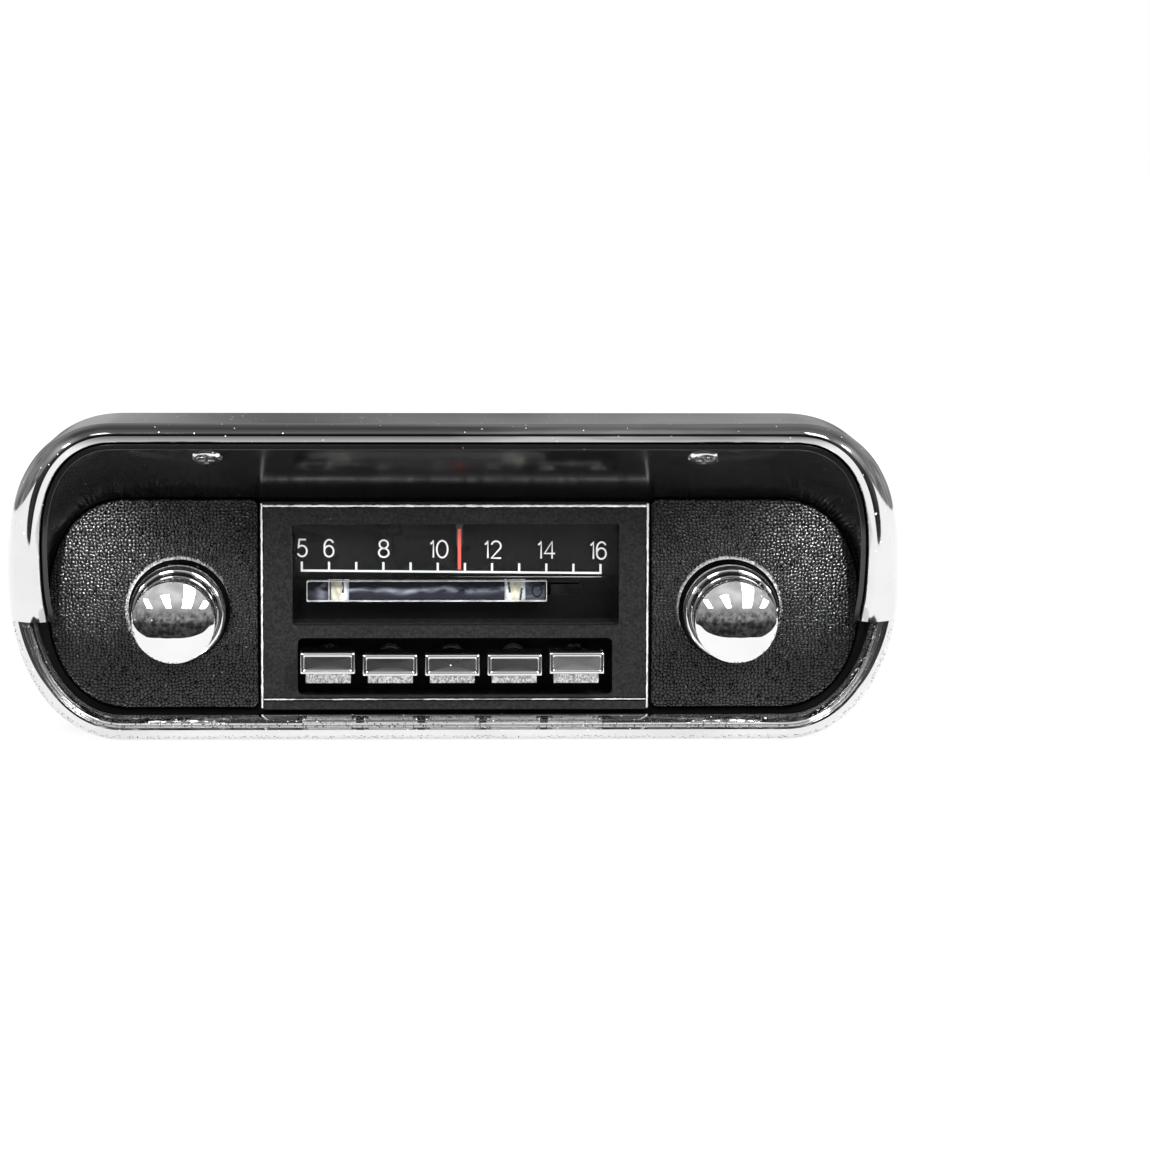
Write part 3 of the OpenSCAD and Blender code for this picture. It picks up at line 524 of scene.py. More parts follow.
def rim_seam(d):
    share = (WIDEST_Z - SEAM_Z) / (BEZEL_DROP + WIDEST_Z - d)
    return -asin(share ** (1 / LOWER_POWER))


def panel_x(a, d):
    return PANEL_STRAIGHT + max(0.0, cos(a)) ** PANEL_POWER * (PANEL_END + d)


def panel_z(a, d):
    s = sin(a)
    return PANEL_MID + copysign(abs(s) ** PANEL_POWER, s) * (PANEL_HALF_H + d)


def panel_seam(d):
    return -asin(((PANEL_MID - SEAM_Z) / (PANEL_HALF_H + d)) ** (1 / PANEL_POWER))


def hood_at(z):
    share = max(0.0, (z - SEAM_Z) / (BEZEL_TOP - SEAM_Z))
    return SEAM_REACH + (HOOD_REACH - SEAM_REACH) * share


def sideness(a):
    return 1.0 if a < 0 else cos(a) ** 2


def lip(a):
    return mix(4.6, 10.0, sideness(a))


def hood_section(a):
    """Section of the hood as pairs of distance inside the outline and forward."""
    r = hood_at(rim_z(a, 0))
    start = mix(r - 7, -1, sideness(a))
    crest = lip(a) - NOSE_IN
    edge_reach = r - NOSE_BACK
    roll = [(crest * (1 - cos(t)), mix(start, r, sin(t))) for t in np.linspace(0, RIGHT_ANGLE, 20)]
    nose = rounded(
        [
            roll[-1],
            (crest + 0.5, r - 0.1), (lip(a) - 0.2, edge_reach), (lip(a), edge_reach - 0.5),
            (CAST_WALL, r - 4.6),
        ],
        [0, 0.3, 0.25, 0.25, 0],
        4,
    )
    return [(0, -SKIRT_BACK), *roll[:-1], *nose, (CAST_WALL, -SKIRT_BACK)]


RIM_ROLL = [(3.4 * (1 - cos(t)), mix(-1, 6.3, sin(t))) for t in np.linspace(0, RIGHT_ANGLE, 16)]
RIM_SECTION = [
    (0, -SKIRT_BACK),
    *RIM_ROLL[:-1],
    *rounded(
        [
            RIM_ROLL[-1],
            (3.9, 5.6), (4.3, 4.9), (4.6, 5.3), (5, 5.4), (6.6, 3.3), (6.9, 2.3), (6.9, 0.6),
        ],
        [0, 0.3, 0.2, 0.2, 0.3, 0.5, 0.4, 0],
        4,
    ),
    (CAST_WALL, -1.6), (CAST_WALL, -SKIRT_BACK),
]


def both_ends(steps):
    """(side, share) along one rounded end to the middle, and back along the other."""
    up = [(1, t) for t in np.linspace(0, 1, steps)]
    return up + [(-1, t) for _, t in reversed(up)]


def rim_ring(side, section, a, at_seam):
    ring = []
    for d, forward in section:
        b = rim_seam(d) if at_seam else a
        ring.append((side * rim_x(b, d), -forward, rim_z(b, d)))
    return ring


def casting(steps, middle, section_at):
    """Skin from the seam on one side, through the angle at the middle, to the other seam."""
    rings = []
    for side, t in both_ends(steps):
        a = mix(rim_seam(0), middle, t)
        rings.append(rim_ring(side, section_at(a), a, t == 0))
    return sweep(rings)


def liner_shape():
    gap, thick = LINER_GAP, 1.5
    rings = []
    for side, t in both_ends(64):
        a = mix(rim_seam(0), RIGHT_ANGLE, t)
        b = mix(panel_seam(0), RIGHT_ANGLE, t)
        y = LINER_BACK - hood_at(rim_z(a, 0))

        def back(d, depth):
            c = panel_seam(d) if t == 0 else b
            return (side * panel_x(c, d), depth, panel_z(c, d))

        def front(d):
            c = rim_seam(d) if t == 0 else a
            return (side * rim_x(c, d), y, rim_z(c, d))

        inner, outer = front(lip(a) + LINER_IN), front(lip(a) + LINER_IN - thick)
        ring = rounded([back(gap, 0), inner, outer, back(gap + thick, 0)], 0.35)
        rings.append([back(gap, PANEL_T), *ring, back(gap + thick, PANEL_T)])
    return sweep(rings)


hood = piece("hood_casting", casting(64, RIGHT_ANGLE, hood_section), "hood")
hood_x, hood_y, hood_z = places(hood).T
on_top = ramp(hood_z, BEZEL_TOP - 6, BEZEL_TOP - 3)
mark(hood, "spotted", on_top * ramp(np.abs(hood_x), 80, 70))
# Painted reflection: a dark band painted along the front of the hood's top
mark(hood, "shade", on_top * ramp(-hood_y, HOOD_REACH - 7, HOOD_REACH - 3))
rim_shape = casting(56, -RIGHT_ANGLE, lambda a: RIM_SECTION)
rim = piece("lower_rim_casting", rim_shape, "lower_rim")
rim_reach = -places(rim)[:, 1]
mark(rim, "pitting", ramp(rim_reach, 2.6, 3.4) * ramp(rim_reach, 5.5, 5.4))
piece("hood_liner_moulding", liner_shape(), "hood_liner", sharp=40)

# ---- grained side panels

rng = np.random.default_rng(11)
CELL, GRAIN = 0.92, 0.24
HOLE_R = 13.25


def pebble_field(x, z):
    """0 in the grooves and 1 on the pebbles, for points of a plane."""
    i0, j0 = np.floor(x / CELL).astype(int), np.floor(z / CELL).astype(int)
    low_i, low_j = i0.min() - 2, j0.min() - 2
    shape = (i0.max() - low_i + 4, j0.max() - low_j + 4)
    jitter = rng.uniform(0.08, 0.92, (*shape, 2))
    first = np.full(x.shape, 1e9)
    second = np.full(x.shape, 1e9)
    for di in range(-2, 3):
        for dj in range(-2, 3):
            i, j = i0 + di, j0 + dj
            seed = jitter[i - low_i, j - low_j]
            dist = np.hypot(x - (i + seed[..., 0]) * CELL, z - (j + seed[..., 1]) * CELL)
            second = np.minimum(second, np.maximum(first, dist))
            first = np.minimum(first, dist)
    edge = np.clip((second - first) / (0.5 * CELL), 0, 1)
    return np.sqrt(1 - (1 - edge) ** 2)


def side_panel_shape(side, around=860, out=108):
    """Panel on a net of rays from the knob hole to its outline, with pale flecks round the hole,
    more of them above it.
    """
    shaft_x = centre_x("tuning_shaft")
    inner_edge = local("right_side_panel")[0][0]
    arc = [(panel_x(a, 0), panel_z(a, 0)) for a in np.linspace(-RIGHT_ANGLE, RIGHT_ANGLE, 240)]
    corner = 1.2
    outline = [
        (inner_edge + corner, -PANEL_DROP),
        *arc,
        (inner_edge + corner, PANEL_TOP), (inner_edge, PANEL_TOP - corner),
        (inner_edge, -PANEL_DROP + corner),
    ]
    outline = np.array(outline) - [shaft_x, 0]
    turn = np.arctan2(outline[:, 1], outline[:, 0])
    order = np.argsort(turn)
    turn, outline = turn[order], outline[order]
    turn = np.concatenate([turn[-1:] - 2 * np.pi, turn, turn[:1] + 2 * np.pi])
    outline = np.vstack([outline[-1:], outline, outline[:1]])
    angles = np.linspace(-np.pi, np.pi, around, endpoint=False)
    k = np.clip(np.searchsorted(turn, angles, side="right") - 1, 0, len(turn) - 2)
    p, q = outline[k], outline[k + 1]
    way = np.stack([np.cos(angles), np.sin(angles)], 1)
    cross = p[:, 0] * (q - p)[:, 1] - p[:, 1] * (q - p)[:, 0]
    reach = cross / (way[:, 0] * (q - p)[:, 1] - way[:, 1] * (q - p)[:, 0])
    r = HOLE_R + (reach[:, None] - HOLE_R) * np.linspace(0, 1, out)[None, :]
    x = shaft_x + r * way[:, :1]
    z = r * way[:, 1:]
    pebble = pebble_field(x * side, z)
    # The panel is slightly crowned and rolls back at its outer edge and at the hole
    bow = np.clip((x - (PANEL_HALF_W - 27)) / 27, 0, 1) ** 2 * 1.7
    bow += np.clip((np.abs(z - PANEL_MID) - 5) / (PANEL_HALF_H - 5), 0, 1) ** 2 * 0.8
    to_edge = reach[:, None] - r
    bow += 0.55 * np.exp(-((to_edge / 0.5) ** 2)) + 0.45 * np.exp(-(((r - HOLE_R) / 0.45) ** 2))
    edge_fade = np.clip(to_edge / 0.6, 0, 1)
    y = bow + GRAIN * (1 - pebble * edge_fade)
    ragged = rng.uniform(0, 1, (around, out))
    fleck_turn = 0.75 if side < 0 else 0.0
    above = 0.5 + 0.5 * np.sin(angles + fleck_turn)[:, None]
    fleck_chance = np.exp(-(((r - HOLE_R) / 0.8) ** 2)) * above
    pale_flecks = ((fleck_chance + 0.9 * (ragged - 0.5)) > 0.66).astype(float) * (0.4 + 0.6 * ragged)
    back_r = r[:, [-1, 0]]
    back_x, back_z = shaft_x + back_r * way[:, :1], back_r * way[:, 1:]
    back = np.stack([back_x, np.full(back_r.shape, PANEL_T), back_z], 2)
    rings = np.concatenate([np.stack([x, y, z], 2), back], 1)
    rings[..., 0] *= side
    n = out + 2
    faces = []
    for i in range(around):
        a, b = i * n, (i + 1) % around * n
        faces += [(a + j, a + (j + 1) % n, b + (j + 1) % n, b + j) for j in range(n)]
    bare = np.zeros((around, 2))
    weights = {
        "pale_flecks": np.concatenate([pale_flecks, bare], 1).ravel(),
        "pebble": np.concatenate([pebble * edge_fade, bare], 1).ravel(),
    }
    return (rings.reshape(-1, 3), faces), weights


def side_panel(side, node):
    shape, weights = side_panel_shape(side)
    made = piece(node + "_grained", shape, node, sharp=50)
    for name, values in weights.items():
        mark(made, name, values)


side_panel(-1, "left_side_panel")
side_panel(1, "right_side_panel")

# ---- bright edging


def edging_run(a, b, half, gaps=()):
    """A worn half-round bead from a to b on the face, with its width and height uneven."""
    a, b = np.array(a, float), np.array(b, float)
    length = np.linalg.norm(b - a)
    along = (b - a) / length
    across = np.array([-along[1], along[0]])
    steps = int(length / 0.45)
    rings = []
    wear = np.convolve(rng.uniform(0, 1, steps + 9), np.ones(5) / 5, "same")[4 : steps + 5]
    fine = rng.uniform(-1, 1, (steps + 1, 2))
    for k in range(steps + 1):
        p = a + along * length * k / steps
        w = half * (0.45 + 0.6 * wear[k]) + 0.03 * fine[k, 0]
        for start, end in gaps:
            if start <= k / steps <= end:
                w *= 0.35
        off = across * 0.05 * fine[k, 1]
        top = 0.3 * min(1.0, w / half)
        half_bead = ((1, 0.3), (0.9, -0.3 * top), (0.4, -top))
        bead = [(-t, depth) for t, depth in half_bead] + list(reversed(half_bead))
        placed = [(p + off + across * w * t, depth) for t, depth in bead]
        rings.append([(q[0], depth, q[1]) for q, depth in placed])
    return sweep(rings)


def edging_shape():
    low, high = local("centre_trim")
    left, right = low[0] + 0.4, high[0] - 0.4
    top_line, bottom_line = 27.2, -23.4
    ends = (left + 0.4, right - 0.4)
    worn_off = ((0.08, 0.18), (0.3, 0.42), (0.55, 0.7), (0.8, 0.86))
    sides = [edging_run((x, low[2]), (x, high[2]), 0.33) for x in (left, right)]
    top = edging_run((ends[0], top_line), (ends[1], top_line), 0.36)
    bottom = edging_run((ends[0], bottom_line), (ends[1], bottom_line), 0.2, worn_off)
    return joined([*sides, top, bottom])


piece("centre_edging", edging_shape(), "centre_trim", sharp=60)

# ---- dial

DIAL_Y = local("dial_plate")[0][1]
FIRST_MARK, MARK_STEP, MARKS_COUNT = -39.95, 7.1, 12
SCALE_Z = 9.15
SCALE_FALL = 0.009
STROKE = 0.42


def arc(x, z, wide, tall, start, end, steps=28):
    """Points of an ellipse arc between two angles in degrees."""
    turn = np.radians(np.linspace(start, end, steps))
    return [(x + wide * cos(t), z + tall * sin(t)) for t in turn]


# Each figure: its width in millimetres, then the middles of its strokes in a unit square
GLYPHS = {
    "0": (2.85, [arc(0.5, 0.5, 0.5, 0.5, 0, 360, 48)]),
    "1": (0.8, [[(0, 0.8), (0.55, 0.88), (0.95, 1), (0.95, 0)]]),
    "2": (2.55, [[*arc(0.5, 0.72, 0.48, 0.28, 165, -32), (0.02, 0), (1, 0)]]),
    "4": (2.75, [[(0.72, 0), (0.72, 1), (0, 0.3), (1, 0.3)]]),
    "5": (2.35, [[(0.9, 1), (0.17, 1), (0.07, 0.52), *arc(0.47, 0.32, 0.53, 0.32, 142, -155)]]),
    "6": (
        2.4,
        [
            arc(0.5, 0.32, 0.5, 0.32, 0, 360, 44),
            [*arc(0.5, 0.38, 0.5, 0.3, 180, 172, 3), *arc(0.53, 0.58, 0.53, 0.42, 178, 35)],
        ],
    ),
    "8": (2.6, [arc(0.5, 0.76, 0.43, 0.24, 0, 360, 44), arc(0.5, 0.26, 0.5, 0.26, 0, 360, 44)]),
}


def ribbon(path, half, y):
    """Flat stroke of one width along a path, closed where the path ends at its start."""
    path = [np.array(p, float) for p in path]
    closed = np.linalg.norm(path[0] - path[-1]) < 1e-6
    if closed:
        path = path[:-1]
    n = len(path)
    rings = []
    for k in range(n):
        before = path[k - 1] if closed or k else path[0]
        after = path[(k + 1) % n] if closed or k < n - 1 else path[-1]
        ways = [w / np.linalg.norm(w) for w in (path[k] - before, after - path[k]) if w.any()]
        along = sum(ways) / np.linalg.norm(sum(ways))
        across = np.array([-along[1], along[0]])
        bend = max(0.8, float(np.dot(along, ways[0])))
        left, right = path[k] + across * half / bend, path[k] - across * half / bend
        rings.append([(p[0], d, p[1]) for p, d in zip((left, right, right, left), np.repeat(y, 2))])
    if closed:
        rings.append(rings[0])
    return sweep(rings, cap=not closed)


def number(text, x, z, y, tall=4.85, gap=0.42):
    """A number in thin strokes, centred on x and standing on z."""
    widths = [GLYPHS[c][0] for c in text]
    at = x - (sum(widths) + (len(text) - 1) * (STROKE + gap)) / 2
    parts = []
    for c, wide in zip(text, widths):
        for path in GLYPHS[c][1]:
            placed = [(at + wide * a, z + STROKE / 2 + (tall - STROKE) * b) for a, b in path]
            parts.append(ribbon(placed, STROKE / 2, y))
        at += wide + STROKE + gap
    return parts


NUMBER_SHIFT = {5: 0.15, 8: 0.1, 10: 0.35, 12: 0.24, 14: 0.08, 16: -0.6}


def scale_shape():
    last = FIRST_MARK + MARK_STEP * (MARKS_COUNT - 1)
    y = (DIAL_Y - 0.04, DIAL_Y)
    line, tick = 0.27, 0.28
    parts = [ribbon([(FIRST_MARK - tick, SCALE_Z), (last + tick, SCALE_Z)], line, y)]
    for k in range(MARKS_COUNT):
        x = FIRST_MARK + MARK_STEP * k
        parts.append(ribbon([(x, SCALE_Z + line), (x, SCALE_Z + 2.35)], tick, y))
    for value in (5, 6, 8, 10, 12, 14, 16):
        x = FIRST_MARK + MARK_STEP * (value - 5) + NUMBER_SHIFT.get(value, 0)
        parts += number(str(value), x, SCALE_Z + 3.5, y)
    points, faces = joined(parts)
    points[:, 2] -= SCALE_FALL * points[:, 0]
    return points, faces


piece("dial_scale", scale_shape(), "dial_plate", material="dial_marks", sharp=30, extra=True)

# ---- band selector


def slab(low, high, edge):
    """Block with rounded corners seen from the front and chamfered front and back edges."""
    half = [(0, edge), (edge * 0.4, edge * 0.25), (edge, 0)]
    depths = [(high[1] - d, inset) for d, inset in half]
    depths += [(low[1] + d, inset) for d, inset in reversed(half)]
    rings = []
    for depth, inset in depths:
        rings.append(at_depth(rounded(front_corners(low, high, inset), 0.3, 3, True), depth))
    return sweep(rings)


def clear_block(name, node, edge, material):
    """A clear block in the place of its CAD node, which lets light through to what is behind."""
    made = piece(name, slab(*local(node), edge), node, material=material, sharp=5)
    made.visible_shadow = False


clear_block("dial_lens_pane", "dial_lens", 0.04, "dial_lens")
clear_block("band_bar_clear", "band_bar", 0.3, "bar_clear")
BAR_LOW, BAR_HIGH = local("band_bar")
stud_low, stud_high = local("band_studs")
stud_half = 2.7
stud_xs = (stud_low[0] + stud_half, stud_high[0] - stud_half)


def bar_edges_shape():
    """The lit edges of the clear bar: a thin frame just inside its front face."""
    front, back = BAR_LOW[1] + 0.35, BAR_HIGH[1] - 0.2
    section = [(0.1, front), (0.1, back), (0.26, back), (0.26, front + 0.1), (0.22, front)]
    rings = []
    for inset, y in [*section, section[0]]:
        outline = front_corners(BAR_LOW, BAR_HIGH, inset)
        rings.append(at_depth(rounded(outline, 0.35, 3, True), y))
    return sweep(rings, cap=False)


def bar_piece(name, shape, material, sharp):
    """A piece of the clear bar that is added to the block itself."""
    return piece(name, shape, "band_bar", material=material, sharp=sharp, extra=True)


BAR_MID_Z = (BAR_LOW[2] + BAR_HIGH[2]) / 2
edges = bar_piece("band_bar_edges", bar_edges_shape(), "bar_edge", 30)
# Painted highlight: the lower edges are painted brighter than the upper ones
mark(edges, "lit", np.where(places(edges)[:, 2] > BAR_MID_Z, 0.25, 0.8))


def grid_block(x, z, front, back, across=60, up=12):
    """Block whose front is a net of points at the depths that front(x, z) gives."""
    xs, zs = np.linspace(*x, across), np.linspace(*z, up)
    points = [(a, front(a, b), b) for a in xs for b in zs]
    points += [(a, back, b) for a in xs for b in zs]
    n = across * up
    faces = []
    for i in range(across - 1):
        for j in range(up - 1):
            a, b = i * up + j, (i + 1) * up + j
            faces.append((a, b, b + 1, a + 1))
            faces.append((n + a, n + a + 1, n + b + 1, n + b))
    edge = [i * up for i in range(across)] + [(across - 1) * up + j for j in range(1, up)]
    edge += [i * up + up - 1 for i in range(across - 2, -1, -1)] + list(range(up - 2, 0, -1))
    for a, b in zip(edge, edge[1:] + edge[:1]):
        faces.append((a, n + a, n + b, b))
    return points, faces


def core_shape(x0, x1):
    """Dark filling of one cell of the bar, gently waved."""
    z = (BAR_LOW[2] + 0.4, BAR_HIGH[2] - 0.4)
    back = BAR_HIGH[1] - 0.3

    def front(a, b):
        fade = sin(pi * (b - z[0]) / (z[1] - z[0]))
        return back - 0.6 + 0.12 * sin(a * 0.9 + 0.4 * b) * fade

    return grid_block((x0, x1), z, front, back)


def bar_cores():
    gaps = [BAR_LOW[0] + 0.55]
    for x in stud_xs:
        gaps += [x - stud_half, x + stud_half]
    gaps.append(BAR_HIGH[0] - 0.55)
    shape = joined([core_shape(gaps[k], gaps[k + 1]) for k in (0, 2, 4)])
    made = bar_piece("band_bar_core", shape, "bar_core", 40)
    x, _, z = places(made).T
    # Painted light: a pale sheen along the middle of the cells, and a lighter lower half
    middle = BAR_MID_Z + 0.1
    waved = z - middle + 0.35 * np.sin(x * 0.33) + 0.15 * np.sin(x * 0.81)
    painted_sheen = np.exp(-((waved / 0.55) ** 2))
    left_cell, right_cell = x < stud_xs[0], x > stud_xs[1]
    painted_sheen = np.where(left_cell, 0.5 * np.exp(-(((x - stud_xs[0] + 4.3) / 1.2) ** 2)), painted_sheen)
    painted_sheen = np.where(right_cell, 0.3, painted_sheen)
    mark(made, "painted_sheen", painted_sheen)
    mark(made, "low", np.clip((middle - z) / 0.3, 0, 1))


bar_cores()


def oval_ring(x, z, y, wide, tall, wire, steps=40):
    """A thin ring of an oval, in front of y."""
    rings = []
    for across, up in [*circle(1, steps), (1.0, 0.0)]:
        section = [(1 + c, y + d) for c, d in circle(wire, 8)]
        rings.append([(x + wide * r * across, depth, z + tall * r * up) for r, depth in section])
    return sweep(rings, cap=False)


def stud_shape(x, y, z):
    """Pale stud with a cut front, and a neck behind it."""

    def front(a, b):
        u = (a - x) / stud_half
        return y[0] + 0.06 + 0.5 * max(0.0, abs(u) - 0.45) + 0.1 * sin(7 * u + b)

    head = grid_block((x - stud_half, x + stud_half), z, front, y[1], 40, 24)
    outline = corners((x - 1.5, x + 1.5), (3.4, 5.9))
    shaft = sweep([at_depth(outline, d) for d in (y[1], stud_high[1])])
    return joined([head, shaft])


def band_studs():
    """The two studs; on their cut fronts two mesh attributes place painted highlights and painted
    shade.
    """
    front = (BAR_HIGH[1], DIAL_Y - 0.4)
    shape = joined([stud_shape(x, front, (stud_low[2], stud_high[2])) for x in stud_xs])
    made = piece("band_studs_cut", shape, "band_studs", material="stud_cream", sharp=8)
    x, _, z = places(made).T
    v = (z - (stud_low[2] + stud_high[2]) / 2) / (stud_high[2] - stud_low[2]) * 2
    u = (x - stud_xs[0]) / stud_half
    left_cream = (u > -0.7) & (u < 0.32 + 0.08 * np.sin(5 * v))
    left_dark = ((u > 0.32) & (u < 0.5) & (v > -0.3)) | ((u > -0.86) & (u < -0.72))
    w = (x - stud_xs[1]) / stud_half
    half = 0.5 + 0.12 * v
    right_cream = np.abs(w - 0.05) < half
    right_dark = (np.abs(np.abs(w - 0.05) - half - 0.08) < 0.1) & (v * np.sign(w) < 0.3)
    left = x < (stud_xs[0] + stud_xs[1]) / 2
    cream_part = np.where(left, left_cream, right_cream)
    dark = np.where(left, left_dark & ~left_cream, right_dark)
    mark(made, "dark", dark)
    mark(made, "painted_highlight", 0.7 * (~cream_part & ~dark))


band_studs()
oval = oval_ring(BAR_HIGH[0] - 2.6, BAR_MID_Z, BAR_HIGH[1] - 1.1, 1.2, 1.5, 0.12)
bar_piece("band_bar_marks", oval, "bar_core", 60)

# ---- push buttons


def rect_ring(x, z, inset, r, y, per_side=6, steps=5):
    """Rounded rectangle ring at a depth, with points along its sides as well."""
    bends = rounded(corners(x, z, inset), r, steps, True)
    ring = []
    n = steps + 1
    for c in range(4):
        own = bends[c * n : (c + 1) * n]
        ring += own
        ahead = bends[(c + 1) % 4 * n]
        ring += [mix(own[-1], ahead, k / per_side) for k in range(1, per_side)]
    return at_depth(ring, y)


def button_shape(node, lean):
    """Button with a round rim, a dished face that leans a little, and the slot of its slide."""
    low, high = local(node)
    x, z = (low[0], high[0]), (low[2], high[2])
    mid_x, mid_z = (x[0] + x[1]) / 2, (z[0] + z[1]) / 2
    front, back = low[1], high[1]
    slot_x, slot_z = (mid_x - 2.3, mid_x + 2.3), (-14.2, -12.6)
    rings = [
        rect_ring(slot_x, slot_z, 0, 0.05, -5),
        rect_ring(slot_x, slot_z, 0, 0.05, back),
        rect_ring(x, z, 0.15, 0.3, back),
        rect_ring(x, z, 0, 0.4, back - 0.2),
    ]
    rim = 0.6
    for t in np.linspace(0, RIGHT_ANGLE, 6):
        out = rim * (1 - cos(t))
        rings.append(rect_ring(x, z, out, 0.4, front + 0.5 * (1 - sin(t))))
    for t in np.linspace(0.3, RIGHT_ANGLE, 5):
        out = rim + 0.45 * sin(t)
        rings.append(rect_ring(x, z, out, 0.3, front + 0.4 * (1 - cos(t))))
    edge = np.array(rect_ring(x, z, 1.1, 0.25, front + 0.5))
    middle = np.array([mid_x, 0, mid_z])
    for share in (0, 0.06, 0.2, 0.4, 0.6, 0.8, 0.93):
        ring = edge.copy()
        ring[:, 0] = mix(edge[:, 0], middle[0], share)
        ring[:, 2] = mix(edge[:, 2], middle[2], share)
        ring[:, 1] = front + 0.5 + lean * (ring[:, 2] - mid_z) + 0.04 * (1 - (1 - share) ** 2)
        rings.append([tuple(p) for p in ring])
    return sweep(rings)


for k in range(1, 6):
    node = f"preset_button_{k}"
    lean = (-0.02, -0.01, 0.0, -0.015, 0.09)[k - 1]
    piece(f"{node}_cap", button_shape(node, lean), node, sharp=35)

# ---- knobs


def knob_profile():
    low, high = local("volume_knob")
    body, reach, rise, bore = (high[0] - low[0]) / 2, -low[1], 4.0, 3.0
    edge = body - 0.3
    ball = (edge * edge + rise * rise) / (2 * rise)
    half = asin(edge / ball)
    turn = np.linspace(half, 0, 40)
    dome = [(ball * sin(t), reach - ball + ball * cos(t)) for t in turn]
    step, groove = reach - rise, body - 0.25
    flank = rounded(
        [
            (bore, 15.5), (bore, 7.6), (8.6, 7.6), (8.6, 10), (edge, 10), (body, 10.3),
            (body, step - 2.6), (groove, step - 2.3), (groove, step - 1.9), (body, step - 1.6),
            (body, step - 0.3),
            dome[0],
        ],
        [0, 0.1, 0.3, 0.1, 0.2, 0.2, 0.1, 0.1, 0.1, 0.1, 0.25, 0],
        3,
    )
    return [*flank, *dome[1:], (0, 15.5), (bore, 15.5)]


def ring_profile():
    r, bore = 12.4, 4.3
    return rounded(
        [
            (bore, 2.6), (r - 1.8, 2.6), (r - 1.8, -0.6), (r - 0.2, -0.6), (r, 0.2), (r, 7.6),
            (r - 0.4, 8.8), (r - 1.1, 9.4), (r - 1.8, 9.2), (r - 2.4, 8.2), (r - 2.9, 7.2),
            (9, 6.6), (bore, 6.6),
        ],
        [0.1, 0.1, 0.1, 0.15, 0.3, 0.6, 0.5, 0.4, 0.4, 0.4, 0.4, 0.4, 0.1],
        3,
        True,
    )


for node in ("volume_knob", "tuning_knob"):
    middle = centre_x(node)
    made = piece(f"{node}_dome", turned(knob_profile(), middle), node, sharp=28)
    x, y, z = places(made).T
    flank = np.hypot(x - middle, z) > local(node)[1][0] - middle - 0.4
    mark(made, "pitting", flank * ramp(-y, 22.5, 24))
for node in ("tone_ring", "fader_ring"):
    profile = ring_profile()
    shape = turned([*profile, profile[0]], centre_x(node))
    piece(f"{node}_turned", shape, node, sharp=28)

# ---- liner screws


def pan_head(segments=64, rings=18):
    """Flat head seen along +Z with a cross recess, the shank behind it, about the origin."""
    head_r, height, recess, shank_r, shank = 4.1, 0.9, 0.5, 1.6, 8.7
    points, faces = [], []
    for k in range(rings, -1, -1):
        for x, y in circle(head_r * k / rings, segments):
            z = -height * sqrt(max(0.0, 1 - (k / rings) ** 3))
            arm = min(abs(x), abs(y)) < 0.42 and max(abs(x), abs(y)) < 2.1
            points.append((x, y, z + (recess if arm else 0.0)))
    for i in range(rings):
        a, b = i * segments, (i + 1) * segments
        for k in range(segments):
            j = (k + 1) % segments
            faces.append((a + k, a + j, b + j, b + k))
    steps = ((head_r, 0.0), (shank_r, 0.0), (shank_r, shank), (shank_r / 2, shank))
    stem = sweep([[(x, y, z) for x, y in circle(r, segments)] for r, z in steps], cap=False)
    stem[1].append(tuple(3 * segments + k for k in range(segments)))
    return joined([(np.array(points), faces), stem])


def liner_screws_shape():
    """Two screws through the liner, square to its slope."""
    forward = 23.6
    rise = BEZEL_TOP - lip(RIGHT_ANGLE) - LINER_IN - PANEL_TOP - LINER_GAP
    slope = rise / (HOOD_REACH - LINER_BACK)
    turn = np.array(Euler((-atan(slope), 0, 0)).to_matrix())
    level = PANEL_TOP + LINER_GAP + forward * slope
    parts = []
    for x in (-63, 63):
        points, faces = pan_head()
        parts.append((points @ turn.T + [x, -forward, level], faces))
    return joined(parts)


piece("liner_screws_pan", liner_screws_shape(), "liner_screws", sharp=30)

# ---- springs


def spring_shape(node, wire=0.16, turns=4, steps=28):
    """Coil of round wire along Y that fills the box of its CAD node."""
    low, high = local(node)
    middle = (low + high) / 2
    radius = (high[0] - low[0]) / 2 - wire
    rings = []
    for k in range(turns * steps + 1):
        a = 2 * pi * k / steps
        out = np.array([cos(a), 0, sin(a)])
        along = mix(low[1] + wire, high[1] - wire, k / (turns * steps))
        centre = np.array([middle[0], along, middle[2]])
        section = [(radius + c, d) for c, d in circle(wire, 10)]
        rings.append([tuple(centre + r * out + [0, d, 0]) for r, d in section])
    return sweep(rings)


for k in range(1, 6):
    node = f"preset_spring_{k}"
    made = piece(f"{node}_coil", spring_shape(node), node)
    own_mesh(made)

# ---- CAD nodes that stay


def dress(node, edge, material):
    """Gives a CAD node its material, smooth faces and, if it has an edge width, softened edges."""
    held = NODES[node]
    held.data.materials.clear()
    held.data.materials.append(MATERIALS[material or SLOT_OF_NODE[node]])
    held.data.shade_smooth()
    held.data.set_sharp_from_angle(angle=radians(32))
    if edge:
        weld = held.modifiers.new("joined_faces", "WELD")
        weld.merge_threshold = 1e-6
        soft = held.modifiers.new("soft_edges", "BEVEL")
        soft.width = edge * MM
        soft.segments = 2
        soft.limit_method = "ANGLE"
        soft.angle_limit = radians(35)
        even = held.modifiers.new("flat_faces", "WEIGHTED_NORMAL")
        even.weight = 100
        even.keep_sharp = True


